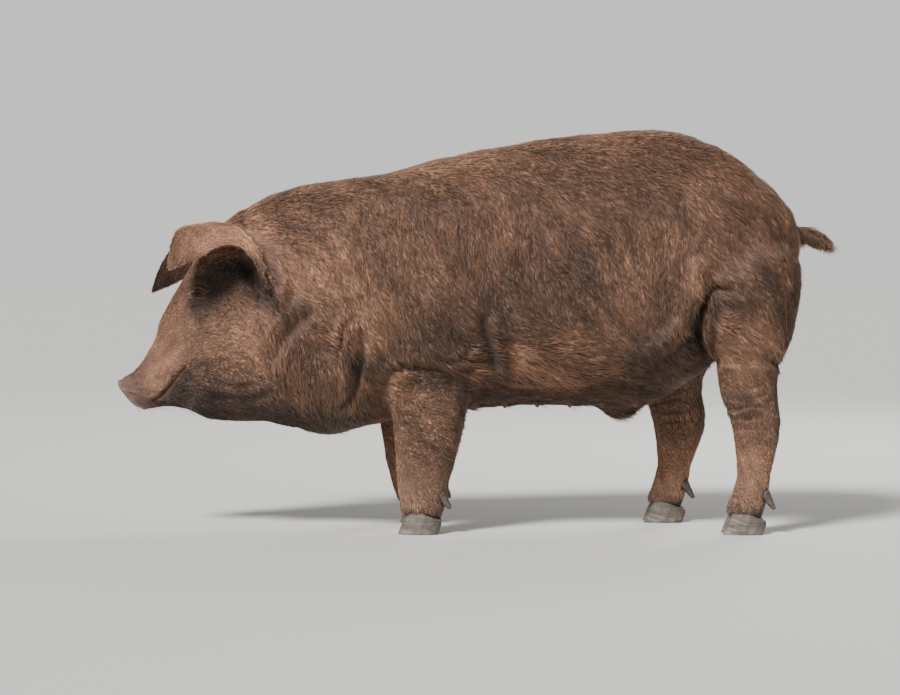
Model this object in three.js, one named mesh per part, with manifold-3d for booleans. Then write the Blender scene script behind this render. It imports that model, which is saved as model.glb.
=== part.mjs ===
// A standing hog, life-size: a heavy red-brown animal with lop ears, short legs and a short tail.
//
// Millimetres, +Z up. The hog faces -Y, its left side is +X, and its claws stand on Z = 0.
// The body is one loft of upright sections from the nose to the rump. Limbs, ears and tail are
// lofts of their own. They are joined where flesh is one mass and parted by thin cuts, so that
// every named part is a closed solid of its own.

import * as THREE from 'three';
import { LoftGeometry } from 'three/addons/geometries/LoftGeometry.js';
import { mergeVertices } from 'three/addons/utils/BufferGeometryUtils.js';
import Module from 'manifold-3d';

const wasm = await Module();
wasm.setup();

// ---------------------------------------------------------------- driving dimensions

const GAP = 0.4; // clear space left by every cut between two parts
const FAR = 3000; // size of the blocks that part the body, longer than the hog

const BODY_SIDES = 32; // points round a section of the body
const LIMB_SIDES = 16; // points round a section of a leg
const TAIL_SIDES = 8;
const CLAW_SIDES = 12;
const EAR_STEPS = 5; // steps across an ear
const HALF_STEPS = 2; // rings for each station of an ear or the tail

const FACE_STEP = 24; // spacing of the rings at the nose
const TRUNK_STEP = 54; // spacing of the rings along the trunk
const LIMB_STEP = 38; // spacing of the rings down a leg

const EYE_RADIUS = 13;
const EYE_CENTRE = [ 91, - 605, 521 ];

const NOSTRIL_CENTRE = [ 19, - 775, 300 ];
const NOSTRIL_RADII = [ 8, 11, 22 ]; // across, up the disc, and in depth
const DISC_TILT = 0.72; // how far the nose disc faces down, in radians

const FORE_STANCE = 112; // half the distance between the forelegs
const HIND_STANCE = 116; // half the distance between the hind legs
const FAR_FORE_LEAN = - 36; // how far the right forearm leans ahead of the left one
const FAR_HIND_STEP = - 154; // how far the right hind foot stands ahead of the left one
const HIP_LEVEL = 650; // the right thigh swings forward from here
const SWING_REACH = 400; // and has swung all the way this far down
const BENT_HOCK = 18; // how far the bent right hock stands out behind
const HOCK_REACH = 75;

const SHOULDER_LEVEL = 352; // the forelegs part from the trunk
const KNEE_LEVEL = 160;
const STIFLE_LEVEL = 374; // the hind legs part from the hams
const HOCK_LEVEL = 226;

const FORE_CLAW_Y = - 126; // middle of the claws of a forefoot
const HIND_CLAW_Y = 582; // middle of the claws of the left hind foot
const CLAW_LENGTH = 90;
const CLAW_WIDTH = 42;
const CLAW_HEIGHT = 50;
const CLAW_SPREAD = 22.5; // middle of a claw to the middle of the foot
const HEEL_DROP = 0.4; // how much lower a claw is at its heel, as a share of its height
const DEWCLAW_LENGTH = 46;
const DEWCLAW_WIDTH = 27;
const DEWCLAW_TIP = 10;
const DEWCLAW_LEVEL = 74;
const DEWCLAW_BACK = 58; // behind the middle of the claws
const DEWCLAW_SLOPE = 1.0; // how far a dewclaw points down, in radians

const TEAT_PAIRS = 6;
const FIRST_TEAT_Y = - 10;
const TEAT_SPACING = 72;
const TEAT_RADII = [ 6, 6, 9 ];
const TEAT_X = 62;
const TEAT_Z = 277;
const SHEATH_CENTRE = [ 0, 318, 272 ];
const SHEATH_RADII = [ 30, 52, 35 ];

// Body stations from the nose disc to the rump. A section stands between a point of the upper
// outline and a point of the lower outline. Columns: upper y, upper z, lower y, lower z, half
// width, level of the greatest width as a share of the height, and the fullness of the upper and
// the lower curve (2 is an ellipse, more is squarer).
const BODY_STATIONS = [
	[ - 798, 325, - 749, 267, 49, 0.50, 2.7, 2.5 ], // nose disc
	[ - 789, 333, - 735, 264, 56, 0.50, 2.6, 2.5 ], // rim of the disc
	[ - 769, 345, - 708, 268, 56, 0.45, 2.4, 2.4 ], // behind the rim
	[ - 744, 372, - 676, 270, 62, 0.40, 2.3, 2.3 ], // muzzle
	[ - 716, 420, - 636, 262, 77, 0.38, 2.3, 2.4 ], // bridge of the nose
	[ - 703, 468, - 598, 243, 96, 0.36, 2.3, 2.4 ], // below the eye
	[ - 674, 519, - 556, 237, 113, 0.38, 2.4, 2.3 ], // eye
	[ - 638, 578, - 512, 236, 125, 0.38, 2.6, 2.2 ], // forehead
	[ - 585, 664, - 462, 235, 137, 0.38, 2.5, 2.2 ], // poll
	[ - 524, 711, - 408, 222, 152, 0.38, 2.2, 2.2 ], // nape
	[ - 434, 753, - 338, 206, 171, 0.40, 2.1, 2.2 ], // neck
	[ - 340, 774, - 272, 218, 189, 0.43, 2.1, 2.2 ], // base of the neck
	[ - 205, 792, - 190, 238, 206, 0.47, 2.2, 2.3 ], // shoulder
	[ - 90, 823, - 80, 254, 211, 0.48, 2.3, 2.3 ], // withers
	[ 30, 847, 33, 267, 210, 0.48, 2.5, 2.3 ], // chest
	[ 150, 868, 150, 273, 214, 0.48, 2.5, 2.3 ], // ribs
	[ 270, 880, 270, 268, 215, 0.48, 2.5, 2.3 ], // belly
	[ 384, 888, 372, 270, 210, 0.50, 2.5, 2.3 ], // loin
	[ 480, 872, 462, 314, 204, 0.52, 2.5, 2.3 ], // hip
	[ 572, 831, 545, 378, 193, 0.53, 2.4, 2.2 ], // rump
	[ 640, 777, 612, 420, 168, 0.54, 2.3, 2.2 ], // croup
	[ 690, 724, 664, 460, 132, 0.54, 2.2, 2.1 ], // above the tail
	[ 714, 679, 692, 506, 90, 0.55, 2.0, 2.0 ], // root of the tail
	[ 722, 640, 708, 552, 46, 0.50, 2.0, 2.0 ], // seat
];

// Soft swellings and hollows on both sides of the body. Columns: y, z, reach along y, reach
// along z, height (negative for a hollow).
const BODY_SWELLINGS = [
	[ - 636, 556, 34, 20, 9 ], // brow
	[ - 611, 521, 24, 19, - 11 ], // socket of the eye
	[ - 668, 430, 30, 60, - 5 ], // side of the nose
	[ - 520, 380, 75, 80, 12 ], // cheek
	[ - 410, 330, 60, 85, 10 ], // jowl
	[ - 285, 372, 30, 95, - 13 ], // crease between jowl and shoulder
	[ - 150, 560, 105, 150, 11 ], // shoulder blade
	[ - 118, 385, 95, 60, 8 ], // upper arm
	[ 12, 430, 55, 120, - 9 ], // hollow behind the shoulder
	[ 200, 520, 170, 130, 5 ], // ribs
	[ 462, 440, 62, 105, - 13 ], // flank
	[ 420, 740, 110, 60, - 4 ], // dip before the hip
];

// Foreleg, from the upper arm down to the coronet. Columns: z, front y, rear y, middle x out
// from the stance line, half width, fullness.
const FORELEG_STATIONS = [
	[ 500, - 200, - 20, 4, 58, 2.2 ], // upper arm, inside the shoulder
	[ 420, - 210, - 4, 12, 62, 2.2 ], // elbow
	[ 345, - 211, - 4, 13, 61, 2.2 ],
	[ 312, - 213, - 8, 12, 60, 2.2 ], // roll of skin over the forearm
	[ 288, - 197, - 13, 10, 56, 2.2 ],
	[ 262, - 187, - 18, 8, 52, 2.2 ], // forearm
	[ 222, - 183, - 26, 5, 48, 2.2 ],
	[ 180, - 179, - 37, 2, 46, 2.3 ],
	[ 150, - 177, - 45, 0, 46, 2.4 ], // knee
	[ 118, - 174, - 55, 0, 42, 2.3 ], // cannon
	[ 88, - 172, - 58, 0, 43, 2.3 ], // fetlock
	[ 62, - 168, - 64, 0, 40, 2.3 ], // pastern
	[ 46, - 166, - 70, 0, 36, 2.3 ], // coronet
	[ 24, - 118, - 76, 0, 32, 2.3 ], // heel
];

// Hind leg, from the ham down to the coronet, in the same columns.
const HINDLEG_STATIONS = [
	[ 700, 520, 600, - 60, 50, 2.1 ], // top of the ham, inside the rump
	[ 655, 480, 670, - 42, 72, 2.1 ],
	[ 610, 462, 706, - 18, 92, 2.2 ],
	[ 560, 458, 715, - 8, 98, 2.2 ], // ham
	[ 500, 466, 709, - 3, 98, 2.2 ],
	[ 440, 484, 697, 1, 90, 2.2 ], // stifle
	[ 402, 505, 683, 4, 80, 2.2 ],
	[ 378, 521, 667, 6, 71, 2.2 ],
	[ 332, 526, 659, 8, 59, 2.2 ], // gaskin
	[ 290, 535, 662, 8, 50, 2.2 ],
	[ 252, 550, 668, 8, 46, 2.3 ], // hock
	[ 215, 561, 664, 6, 43, 2.3 ],
	[ 170, 567, 656, 4, 38, 2.3 ], // cannon
	[ 128, 570, 646, 2, 36, 2.3 ],
	[ 95, 562, 644, 0, 40, 2.3 ], // fetlock
	[ 66, 550, 637, 0, 39, 2.3 ], // pastern
	[ 46, 544, 630, 0, 36, 2.3 ], // coronet
	[ 24, 590, 624, 0, 32, 2.3 ], // heel
];

// Tail, along its middle line from inside the rump to the tip. Columns: y, z, radius.
const TAIL_STATIONS = [
	[ 690, 655, 17 ],
	[ 722, 656, 18 ],
	[ 750, 648, 20 ],
	[ 774, 637, 15 ],
	[ 792, 629, 8 ],
	[ 801, 625, 2 ],
];

// Ears, from the root to the tip. A rib runs from the inner edge over the crown to the outer
// edge. Columns: inner x, y, z; outer x, y, z; rise of the crown; thickness.
const LEFT_EAR_RIBS = [
	[ 58, - 532, 650, 142, - 436, 500, 10, 22 ], // root, inside the head
	[ 70, - 552, 672, 166, - 458, 556, 26, 16 ],
	[ 82, - 580, 678, 184, - 498, 620, 21, 10 ],
	[ 94, - 612, 677, 194, - 545, 628, 16, 8 ], // visor
	[ 106, - 640, 672, 198, - 586, 607, 11, 7 ],
	[ 118, - 657, 656, 192, - 624, 590, 7, 6 ], // bent down
	[ 136, - 665, 620, 176, - 648, 580, 4, 5 ],
	[ 150, - 669, 585, 162, - 664, 575, 1, 4 ], // tip
];

const RIGHT_EAR_RIBS = [
	[ 58, - 540, 648, 140, - 438, 502, 10, 22 ], // root, inside the head
	[ 70, - 564, 670, 162, - 472, 556, 26, 16 ],
	[ 82, - 600, 672, 178, - 526, 606, 22, 10 ],
	[ 94, - 644, 660, 188, - 586, 600, 18, 8 ],
	[ 104, - 682, 632, 188, - 640, 566, 13, 7 ],
	[ 112, - 712, 590, 176, - 688, 540, 8, 6 ], // hangs lower than the left one
	[ 124, - 730, 550, 156, - 720, 526, 4, 5 ],
	[ 134, - 738, 524, 142, - 736, 518, 1, 4 ], // tip
];

const NOSE_STATION = 2; // the nose parts from the head here
const NECK_STATION = 9; // the head parts from the neck here
const TRUNK_STATION = 11; // the neck parts from the trunk here

const EDGE_THINNESS = 0.3; // half thickness of an ear's edge as a share of its middle
const TOE_NARROWING = 0.4; // how much a claw narrows to its toe
const TOE_TURN = 3; // how far a toe turns in

// Layers of a claw from the sole up. Columns: share of the height, size, and how far back.
const CLAW_LAYERS = [
	[ 0, 1, 0 ],
	[ 0.6, 0.94, 9 ],
	[ 1, 0.78, 17 ],
];

const COLOURS = {
	hide: 0x5a3a2c,
	nose: 0x4a322b,
	claw: 0x2b241f,
	eye: 0x1a120c,
};

// ---------------------------------------------------------------- solids and cuts

function solidOf( geometry ) {

	const plain = new THREE.BufferGeometry();
	plain.setAttribute( 'position', geometry.attributes.position );
	plain.setIndex( geometry.index );
	const merged = mergeVertices( plain, 0.01 );
	return new wasm.Manifold( new wasm.Mesh( {
		numProp: 3,
		vertProperties: new Float32Array( merged.attributes.position.array ),
		triVerts: new Uint32Array( merged.index.array ),
	} ) );

}

// Everything on one side of a plane, short of it by half of the gap.
function sideOf( point, direction ) {

	const normal = new THREE.Vector3( ...direction ).normalize();
	const block = new THREE.BoxGeometry( FAR, FAR, FAR );
	block.translate( 0, 0, FAR / 2 + GAP / 2 );
	const turn = new THREE.Quaternion().setFromUnitVectors( new THREE.Vector3( 0, 0, 1 ), normal );
	block.applyQuaternion( turn );
	block.translate( ...point );
	return solidOf( block );

}

function above( level ) {

	return sideOf( [ 0, 0, level ], [ 0, 0, 1 ] );

}

function below( level ) {

	return sideOf( [ 0, 0, level ], [ 0, 0, - 1 ] );

}

function ellipsoid( centre, radii, around = 10, rings = 7 ) {

	const ball = new THREE.SphereGeometry( 1, around, rings );
	ball.scale( ...radii );
	ball.translate( ...centre );
	return solidOf( ball );

}

// ---------------------------------------------------------------- lofts

// A smooth curve through rows of numbers, spaced by the given positions.
function smoothRows( rows, positions ) {

	const curve = new THREE.CubicInterpolant( positions, rows.flat(), rows[ 0 ].length );
	return ( position ) => Array.from( curve.evaluate( position ) );

}

// Positions that step evenly between stations, as near as can be to the wanted spacing.
function evenSteps( positions, stepAt ) {

	const steps = [ positions[ 0 ] ];
	for ( let i = 1; i < positions.length; i ++ ) {

		const start = positions[ i - 1 ];
		const length = positions[ i ] - start;
		const count = Math.max( 1, Math.round( length / stepAt( start ) ) );
		for ( let j = 1; j <= count; j ++ ) steps.push( start + length * j / count );

	}

	return steps;

}

// A power of a number that keeps its sign.
function signedPower( value, power ) {

	return Math.sign( value ) * Math.abs( value ) ** power;

}

// The turns of a section, one for each of its points.
function turnsOf( sides ) {

	return Array.from( { length: sides }, ( none, i ) => 2 * Math.PI * i / sides );

}

function loftSolid( sections ) {

	return solidOf( new LoftGeometry( sections, { capStart: true, capEnd: true } ) );

}

function swellingAt( y, z ) {

	let height = 0;
	for ( const [ atY, atZ, reachY, reachZ, rise ] of BODY_SWELLINGS ) {

		height += rise * Math.exp( - ( ( ( y - atY ) / reachY ) ** 2 ) - ( ( z - atZ ) / reachZ ) ** 2 );

	}

	return height;

}

// One section of the body, starting at the back and going round by the left side.
function bodySection( row, growth ) {

	const [ upperY, upperZ, lowerY, lowerZ, half, widest, upperFull, lowerFull ] = row;
	const height = Math.hypot( upperY - lowerY, upperZ - lowerZ );
	const rise = new THREE.Vector3( 0, upperY - lowerY, upperZ - lowerZ ).divideScalar( height );
	const seat = new THREE.Vector3( 0, lowerY, lowerZ ).addScaledVector( rise, height * widest );
	return turnsOf( BODY_SIDES ).map( ( turn ) => {

		const isUpper = Math.cos( turn ) > 0;
		const power = 2 / ( isUpper ? upperFull : lowerFull );
		const reach = height * ( isUpper ? 1 - widest : widest ) + growth;
		const point = seat.clone().addScaledVector( rise, signedPower( Math.cos( turn ), power ) * reach );
		const swelling = Math.sin( turn ) * swellingAt( point.y, point.z );
		point.x = signedPower( Math.sin( turn ), power ) * ( half + growth ) + swelling;
		return point;

	} );

}

// How far along the body each station lies, along the middle of its sections.
function bodyPositions() {

	const middles = BODY_STATIONS.map( ( [ upperY, upperZ, lowerY, lowerZ ] ) => new THREE.Vector2(
		( upperY + lowerY ) / 2, ( upperZ + lowerZ ) / 2 ) );
	const positions = [ 0 ];
	for ( let i = 1; i < middles.length; i ++ ) {

		positions.push( positions[ i - 1 ] + middles[ i ].distanceTo( middles[ i - 1 ] ) );

	}

	return positions;

}

// The nose, head, neck and trunk as one solid, grown outward by the given amount.
function bodySolid( growth = 0 ) {

	const positions = bodyPositions();
	const rowAt = smoothRows( BODY_STATIONS, positions );
	const neckPosition = positions[ NECK_STATION ];
	const stepAt = ( position ) => THREE.MathUtils.mapLinear(
		Math.min( position, neckPosition ), 0, neckPosition, FACE_STEP, TRUNK_STEP );
	const steps = evenSteps( positions, stepAt );
	return loftSolid( steps.map( ( position ) => bodySection( rowAt( position ), growth ) ) );

}

// A leg as one solid. poseAt gives how far its front and its rear stand off at each level.
function legSolid( stations, stance, side, poseAt ) {

	const positions = stations.map( ( [ level ] ) => stations[ 0 ][ 0 ] - level );
	const rowAt = smoothRows( stations, positions );
	return loftSolid( evenSteps( positions, () => LIMB_STEP ).map( ( position ) => {

		const [ level, straightFront, straightRear, outward, half, full ] = rowAt( position );
		const [ frontShift, rearShift ] = poseAt( level );
		const front = straightFront + frontShift;
		const rear = straightRear + rearShift;
		const middleX = side * ( stance + outward );
		return turnsOf( LIMB_SIDES ).map( ( turn ) => new THREE.Vector3(
			middleX + signedPower( Math.sin( turn ), 2 / full ) * half,
			( front + rear ) / 2 + signedPower( Math.cos( turn ), 2 / full ) * ( rear - front ) / 2,
			level ) );

	} ) );

}

function tailSolid() {

	const last = TAIL_STATIONS.length - 1;
	const path = new THREE.CatmullRomCurve3( TAIL_STATIONS.map( ( [ y, z ] ) => new THREE.Vector3( 0, y, z ) ) );
	const rowAt = smoothRows( TAIL_STATIONS, TAIL_STATIONS.map( ( row, i ) => i ) );
	const sections = [];
	for ( let step = 0; step <= last * HALF_STEPS; step ++ ) {

		const share = step / ( last * HALF_STEPS );
		const middle = path.getPoint( share );
		const along = path.getTangent( share );
		const up = new THREE.Vector3( 0, - along.z, along.y );
		const radius = rowAt( share * last )[ 2 ];
		sections.push( turnsOf( TAIL_SIDES ).map( ( turn ) => {

			const point = middle.clone().addScaledVector( up, Math.cos( turn ) * radius );
			point.x = Math.sin( turn ) * radius;
			return point;

		} ) );

	}

	return loftSolid( sections );

}

// The upward direction of an ear's rib, square to the rib and to the ear's length.
function earRise( ribs, i ) {

	const before = ribs[ Math.max( i - 1, 0 ) ];
	const after = ribs[ Math.min( i + 1, ribs.length - 1 ) ];
	const along = after.inner.clone().add( after.outer ).sub( before.inner ).sub( before.outer );
	const across = ribs[ i ].outer.clone().sub( ribs[ i ].inner );
	return along.cross( across ).normalize();

}

// An ear as a curved sheet: each rib is an arched strip, thinner at its edges.
function earSolid( stations, side ) {

	const rowAt = smoothRows( stations, stations.map( ( row, i ) => i ) );
	const ribs = [];
	for ( let step = 0; step <= ( stations.length - 1 ) * HALF_STEPS; step ++ ) {

		const row = rowAt( step / HALF_STEPS );
		ribs.push( {
			inner: new THREE.Vector3( ...row.slice( 0, 3 ) ),
			outer: new THREE.Vector3( ...row.slice( 3, 6 ) ),
			crown: row[ 6 ],
			thickness: row[ 7 ],
		} );

	}

	const sections = ribs.map( ( { inner, outer, crown, thickness }, i ) => {

		const rise = earRise( ribs, i );
		const upperSide = [];
		const underSide = [];
		for ( let j = 0; j <= EAR_STEPS; j ++ ) {

			const share = j / EAR_STEPS;
			const arch = Math.sin( Math.PI * share );
			const middle = inner.clone().lerp( outer, share ).addScaledVector( rise, crown * arch );
			const half = thickness * THREE.MathUtils.lerp( EDGE_THINNESS, 0.5, arch );
			upperSide.push( middle.clone().addScaledVector( rise, half ) );
			underSide.push( middle.clone().addScaledVector( rise, - half ) );

		}

		const section = [ ...upperSide, ...underSide.reverse() ];
		for ( const point of section ) point.x *= side;
		return side > 0 ? section.reverse() : section;

	} );
	return loftSolid( sections );

}

// A claw of a foot: a flat sole that narrows to the toe, and walls that lean back. The gap
// between the two claws is on the side that inward points to.
function clawSolid( middleX, middleY, inward, growth = 0 ) {

	const sections = CLAW_LAYERS.map( ( [ level, size, back ] ) => turnsOf( CLAW_SIDES ).map( ( turn ) => {

		const towardToe = ( 1 - Math.cos( turn ) ) / 2;
		const halfWidth = ( size * CLAW_WIDTH / 2 + growth ) * ( 1 - TOE_NARROWING * towardToe ** 2 );
		const halfLength = size * CLAW_LENGTH / 2 + growth;
		const height = CLAW_HEIGHT * ( 1 - HEEL_DROP * ( 1 - towardToe ) );
		return new THREE.Vector3(
			middleX + inward * towardToe * TOE_TURN - Math.sin( turn ) * halfWidth,
			middleY + back + Math.cos( turn ) * halfLength,
			level * height + ( level > 0.5 ? growth : - growth ) );

	} ) );
	return loftSolid( sections );

}

// A dewclaw: a short cone behind the pastern that points back and down.
function dewclawSolid( middleX, middleY, growth = 0 ) {

	const cone = new THREE.CylinderGeometry(
		DEWCLAW_TIP / 2 + growth, DEWCLAW_WIDTH / 2 + growth, DEWCLAW_LENGTH + 2 * growth, 8 );
	cone.rotateX( - DEWCLAW_SLOPE );
	cone.translate( middleX, middleY, DEWCLAW_LEVEL );
	return solidOf( cone );

}

// ---------------------------------------------------------------- the hog

const SIDES = [ [ 1, 'left' ], [ - 1, 'right' ] ];
const hog = new THREE.Group();

function addPart( name, solid, colour, roughness ) {

	const { vertProperties, triVerts } = solid.getMesh();
	const geometry = new THREE.BufferGeometry();
	geometry.setAttribute( 'position', new THREE.BufferAttribute( vertProperties, 3 ) );
	geometry.setIndex( new THREE.BufferAttribute( triVerts, 1 ) );
	const material = new THREE.MeshStandardMaterial( { color: colour, roughness, metalness: 0 } );
	const mesh = new THREE.Mesh( geometry, material );
	mesh.name = name;
	hog.add( mesh );

}

function addFlesh( name, solid ) {

	addPart( name, solid, COLOURS.hide, 0.85 );

}

// The plane of a body section, as the point and direction that sideOf takes, facing the nose.
function sectionPlane( station ) {

	const [ upperY, upperZ, lowerY, lowerZ ] = BODY_STATIONS[ station ];
	return {
		point: [ 0, ( upperY + lowerY ) / 2, ( upperZ + lowerZ ) / 2 ],
		toNose: [ 0, lowerZ - upperZ, upperY - lowerY ],
		toTail: [ 0, upperZ - lowerZ, lowerY - upperY ],
	};

}

// Left legs stand as their stations say. The right foreleg leans ahead between shoulder and
// foot. The right hind leg has stepped ahead, and its bent hock stands out behind.
function standing() {

	return [ 0, 0 ];

}

function foreLean( level ) {

	const share = THREE.MathUtils.clamp( level / FORELEG_STATIONS[ 0 ][ 0 ], 0, 1 );
	const lean = FAR_FORE_LEAN * Math.sin( Math.PI * share );
	return [ lean, lean ];

}

function hindStep( level ) {

	const step = FAR_HIND_STEP * THREE.MathUtils.smoothstep( HIP_LEVEL - level, 0, SWING_REACH );
	const bulge = BENT_HOCK * Math.exp( - ( ( ( level - HOCK_LEVEL ) / HOCK_REACH ) ** 2 ) );
	return [ step, step + bulge ];

}

function nostrilSolid( side ) {

	const ball = new THREE.SphereGeometry( 1, 8, 6 );
	ball.scale( ...NOSTRIL_RADII );
	ball.rotateX( Math.PI / 2 + DISC_TILT );
	ball.translate( side * NOSTRIL_CENTRE[ 0 ], NOSTRIL_CENTRE[ 1 ], NOSTRIL_CENTRE[ 2 ] );
	return solidOf( ball );

}

function addFoot( name, side, stance, clawY, lower ) {

	let leg = lower;
	for ( const [ inward, place ] of [ [ - side, 'outer' ], [ side, 'inner' ] ] ) {

		const middleX = side * stance - inward * CLAW_SPREAD;
		const dewclawX = side * stance - inward * CLAW_SPREAD * 0.8;
		const dewclawY = clawY + DEWCLAW_BACK;
		leg = leg.subtract( clawSolid( middleX, clawY, inward, GAP ) );
		leg = leg.subtract( dewclawSolid( dewclawX, dewclawY, GAP ) );
		addPart( `claw_${ name }_${ place }`, clawSolid( middleX, clawY, inward ), COLOURS.claw, 0.5 );
		addPart( `dewclaw_${ name }_${ place }`, dewclawSolid( dewclawX, dewclawY ), COLOURS.claw, 0.5 );

	}

	return leg;

}

let trunk = bodySolid();
const clearance = bodySolid( GAP );
for ( const [ side, name ] of SIDES ) {

	const foreleg = legSolid( FORELEG_STATIONS, FORE_STANCE, side, side > 0 ? standing : foreLean );
	const hindleg = legSolid( HINDLEG_STATIONS, HIND_STANCE, side, side > 0 ? standing : hindStep );
	const hindClawY = HIND_CLAW_Y + ( side > 0 ? 0 : FAR_HIND_STEP );
	const limbs = [
		[ 'foreleg', foreleg, SHOULDER_LEVEL, KNEE_LEVEL, FORE_STANCE, FORE_CLAW_Y ],
		[ 'hindleg', hindleg, STIFLE_LEVEL, HOCK_LEVEL, HIND_STANCE, hindClawY ],
	];
	for ( const [ limb, leg, topLevel, jointLevel, stance, clawY ] of limbs ) {

		const free = leg.intersect( below( topLevel ) ).subtract( clearance );
		addFlesh( `${ limb }_${ name }_upper`, free.intersect( above( jointLevel ) ) );
		const lower = free.intersect( below( jointLevel ) );
		addFlesh( `${ limb }_${ name }_lower`, addFoot( `${ limb }_${ name }`, side, stance, clawY, lower ) );
		trunk = trunk.add( leg.intersect( above( topLevel ) ) );

	}

	for ( let pair = 0; pair < TEAT_PAIRS; pair ++ ) {

		const centre = [ side * TEAT_X, FIRST_TEAT_Y + pair * TEAT_SPACING, TEAT_Z ];
		trunk = trunk.add( ellipsoid( centre, TEAT_RADII, 6, 4 ) );

	}

}

trunk = trunk.add( ellipsoid( SHEATH_CENTRE, SHEATH_RADII ) );

for ( const [ side, name ] of SIDES ) {

	const centre = [ side * EYE_CENTRE[ 0 ], EYE_CENTRE[ 1 ], EYE_CENTRE[ 2 ] ];
	const radii = [ EYE_RADIUS, EYE_RADIUS, EYE_RADIUS ];
	trunk = trunk.subtract( ellipsoid( centre, radii.map( ( radius ) => radius + GAP ) ) );
	trunk = trunk.subtract( nostrilSolid( side ) );
	addPart( `eye_${ name }`, ellipsoid( centre, radii ), COLOURS.eye, 0.15 );
	const ear = earSolid( side > 0 ? LEFT_EAR_RIBS : RIGHT_EAR_RIBS, side );
	addFlesh( `ear_${ name }`, ear.subtract( clearance ) );

}

addFlesh( 'tail', tailSolid().subtract( clearance ) );

const nosePlane = sectionPlane( NOSE_STATION );
const neckPlane = sectionPlane( NECK_STATION );
const trunkPlane = sectionPlane( TRUNK_STATION );
addPart( 'nose', trunk.intersect( sideOf( nosePlane.point, nosePlane.toNose ) ), COLOURS.nose, 0.6 );
addFlesh( 'head', trunk
	.intersect( sideOf( nosePlane.point, nosePlane.toTail ) )
	.intersect( sideOf( neckPlane.point, neckPlane.toNose ) ) );
addFlesh( 'neck', trunk
	.intersect( sideOf( neckPlane.point, neckPlane.toTail ) )
	.intersect( sideOf( trunkPlane.point, trunkPlane.toNose ) ) );
addFlesh( 'trunk', trunk.intersect( sideOf( trunkPlane.point, trunkPlane.toTail ) ) );

// The origin is the middle of the hog's box, on the floor.
const box = new THREE.Box3().setFromObject( hog );
hog.position.set( - ( box.min.x + box.max.x ) / 2, - ( box.min.y + box.max.y ) / 2, 0 );

export default hog;
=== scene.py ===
"""A life-size still model of a standing hog.

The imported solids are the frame: they give every place and size. One skin stands in for all of the
flesh, a coat of short flat tufts lies over it, and the eyes, claws, lashes and bristles are pieces
of their own. Metres, +Z up. The hog faces -Y and its left side is +X.
"""

import logging
import math
from dataclasses import dataclass, field
from enum import Enum
from typing import Iterable, Sequence

import bmesh
import bpy
import numpy as np
from mathutils import Matrix, Vector
from mathutils.bvhtree import BVHTree
from mathutils.kdtree import KDTree


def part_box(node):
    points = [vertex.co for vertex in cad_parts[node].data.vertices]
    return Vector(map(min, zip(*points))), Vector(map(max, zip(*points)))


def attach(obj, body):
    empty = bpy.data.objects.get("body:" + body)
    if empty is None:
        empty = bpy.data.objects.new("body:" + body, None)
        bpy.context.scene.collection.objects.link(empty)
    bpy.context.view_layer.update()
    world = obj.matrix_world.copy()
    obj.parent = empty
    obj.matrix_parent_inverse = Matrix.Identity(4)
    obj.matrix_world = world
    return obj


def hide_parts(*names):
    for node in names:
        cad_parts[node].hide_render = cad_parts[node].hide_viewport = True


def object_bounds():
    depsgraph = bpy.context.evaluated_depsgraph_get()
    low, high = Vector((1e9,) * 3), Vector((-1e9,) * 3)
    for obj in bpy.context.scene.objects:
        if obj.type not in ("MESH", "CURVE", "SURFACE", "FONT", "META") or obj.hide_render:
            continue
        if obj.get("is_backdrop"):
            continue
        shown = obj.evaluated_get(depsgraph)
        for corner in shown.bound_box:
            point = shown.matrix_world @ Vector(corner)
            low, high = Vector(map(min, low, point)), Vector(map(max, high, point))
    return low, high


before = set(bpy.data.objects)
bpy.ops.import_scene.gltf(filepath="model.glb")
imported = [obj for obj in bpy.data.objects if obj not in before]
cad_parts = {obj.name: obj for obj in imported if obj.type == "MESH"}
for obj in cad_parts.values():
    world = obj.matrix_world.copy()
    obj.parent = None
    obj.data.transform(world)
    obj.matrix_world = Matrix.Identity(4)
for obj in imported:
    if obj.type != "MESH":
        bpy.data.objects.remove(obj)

BODY = "root"
MOST_TRIANGLES = 199_000  # in any one piece
SAME_PLACE = 1e-6  # corners of a solid nearer than this are one, in metres
log = logging.getLogger("hog")

Array = np.ndarray
Piece = bpy.types.Object
Mesh = bpy.types.Mesh
Node = bpy.types.Node
Socket = bpy.types.NodeSocket
Random = np.random.Generator
Pair = tuple[float, float]
Triple = tuple[float, float, float]
Rows = tuple[tuple[float, ...], ...]


class Side(Enum):
    """The two sides of the animal, as the sign of X."""

    LEFT = 1
    RIGHT = -1

    @property
    def label(self) -> str:
        """The side's name in the names of nodes."""
        return self.name.lower()


class Slot(Enum):
    """The record's material slots."""

    HIDE = "hide"
    CLAW = "claw_horn"
    EYE = "eye"


# ---- numbers


def smooth_step(share: Array) -> Array:
    """Eases a share from 0 to 1, flat at both ends."""
    share = np.clip(share, 0.0, 1.0)
    return share * share * (3.0 - 2.0 * share)


def unit(vectors: Array) -> Array:
    """The same directions with a length of one."""
    return vectors / np.maximum(np.linalg.norm(vectors, axis=-1, keepdims=True), 1e-12)


def dot(one: Array, other: Array) -> Array:
    """The dot product of each pair of rows."""
    return np.einsum("...i,...i->...", one, other)


def rescaled(values: Array) -> Array:
    """Values stretched to run from 0 to 1."""
    low, high = values.min(), values.max()
    return (values - low) / max(high - low, 1e-9)


@dataclass(frozen=True)
class Ramp:
    """An eased rise from 0 to 1: the value it starts from and the span it takes."""

    start: float
    span: float

    def over(self, values: Array) -> Array:
        """The ramp at each value."""
        return smooth_step((values - self.start) / self.span)


@dataclass(frozen=True)
class Bump:
    """A rounded ridge: how high it is, how wide, and the value it stands at."""

    height: float
    width: float
    at: float = 0.0

    def over(self, values: Array, share: Array | float = 1.0) -> Array:
        """A share of the ridge at each value."""
        return share * self.height * np.exp(-(((values - self.at) / self.width) ** 2))


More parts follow.
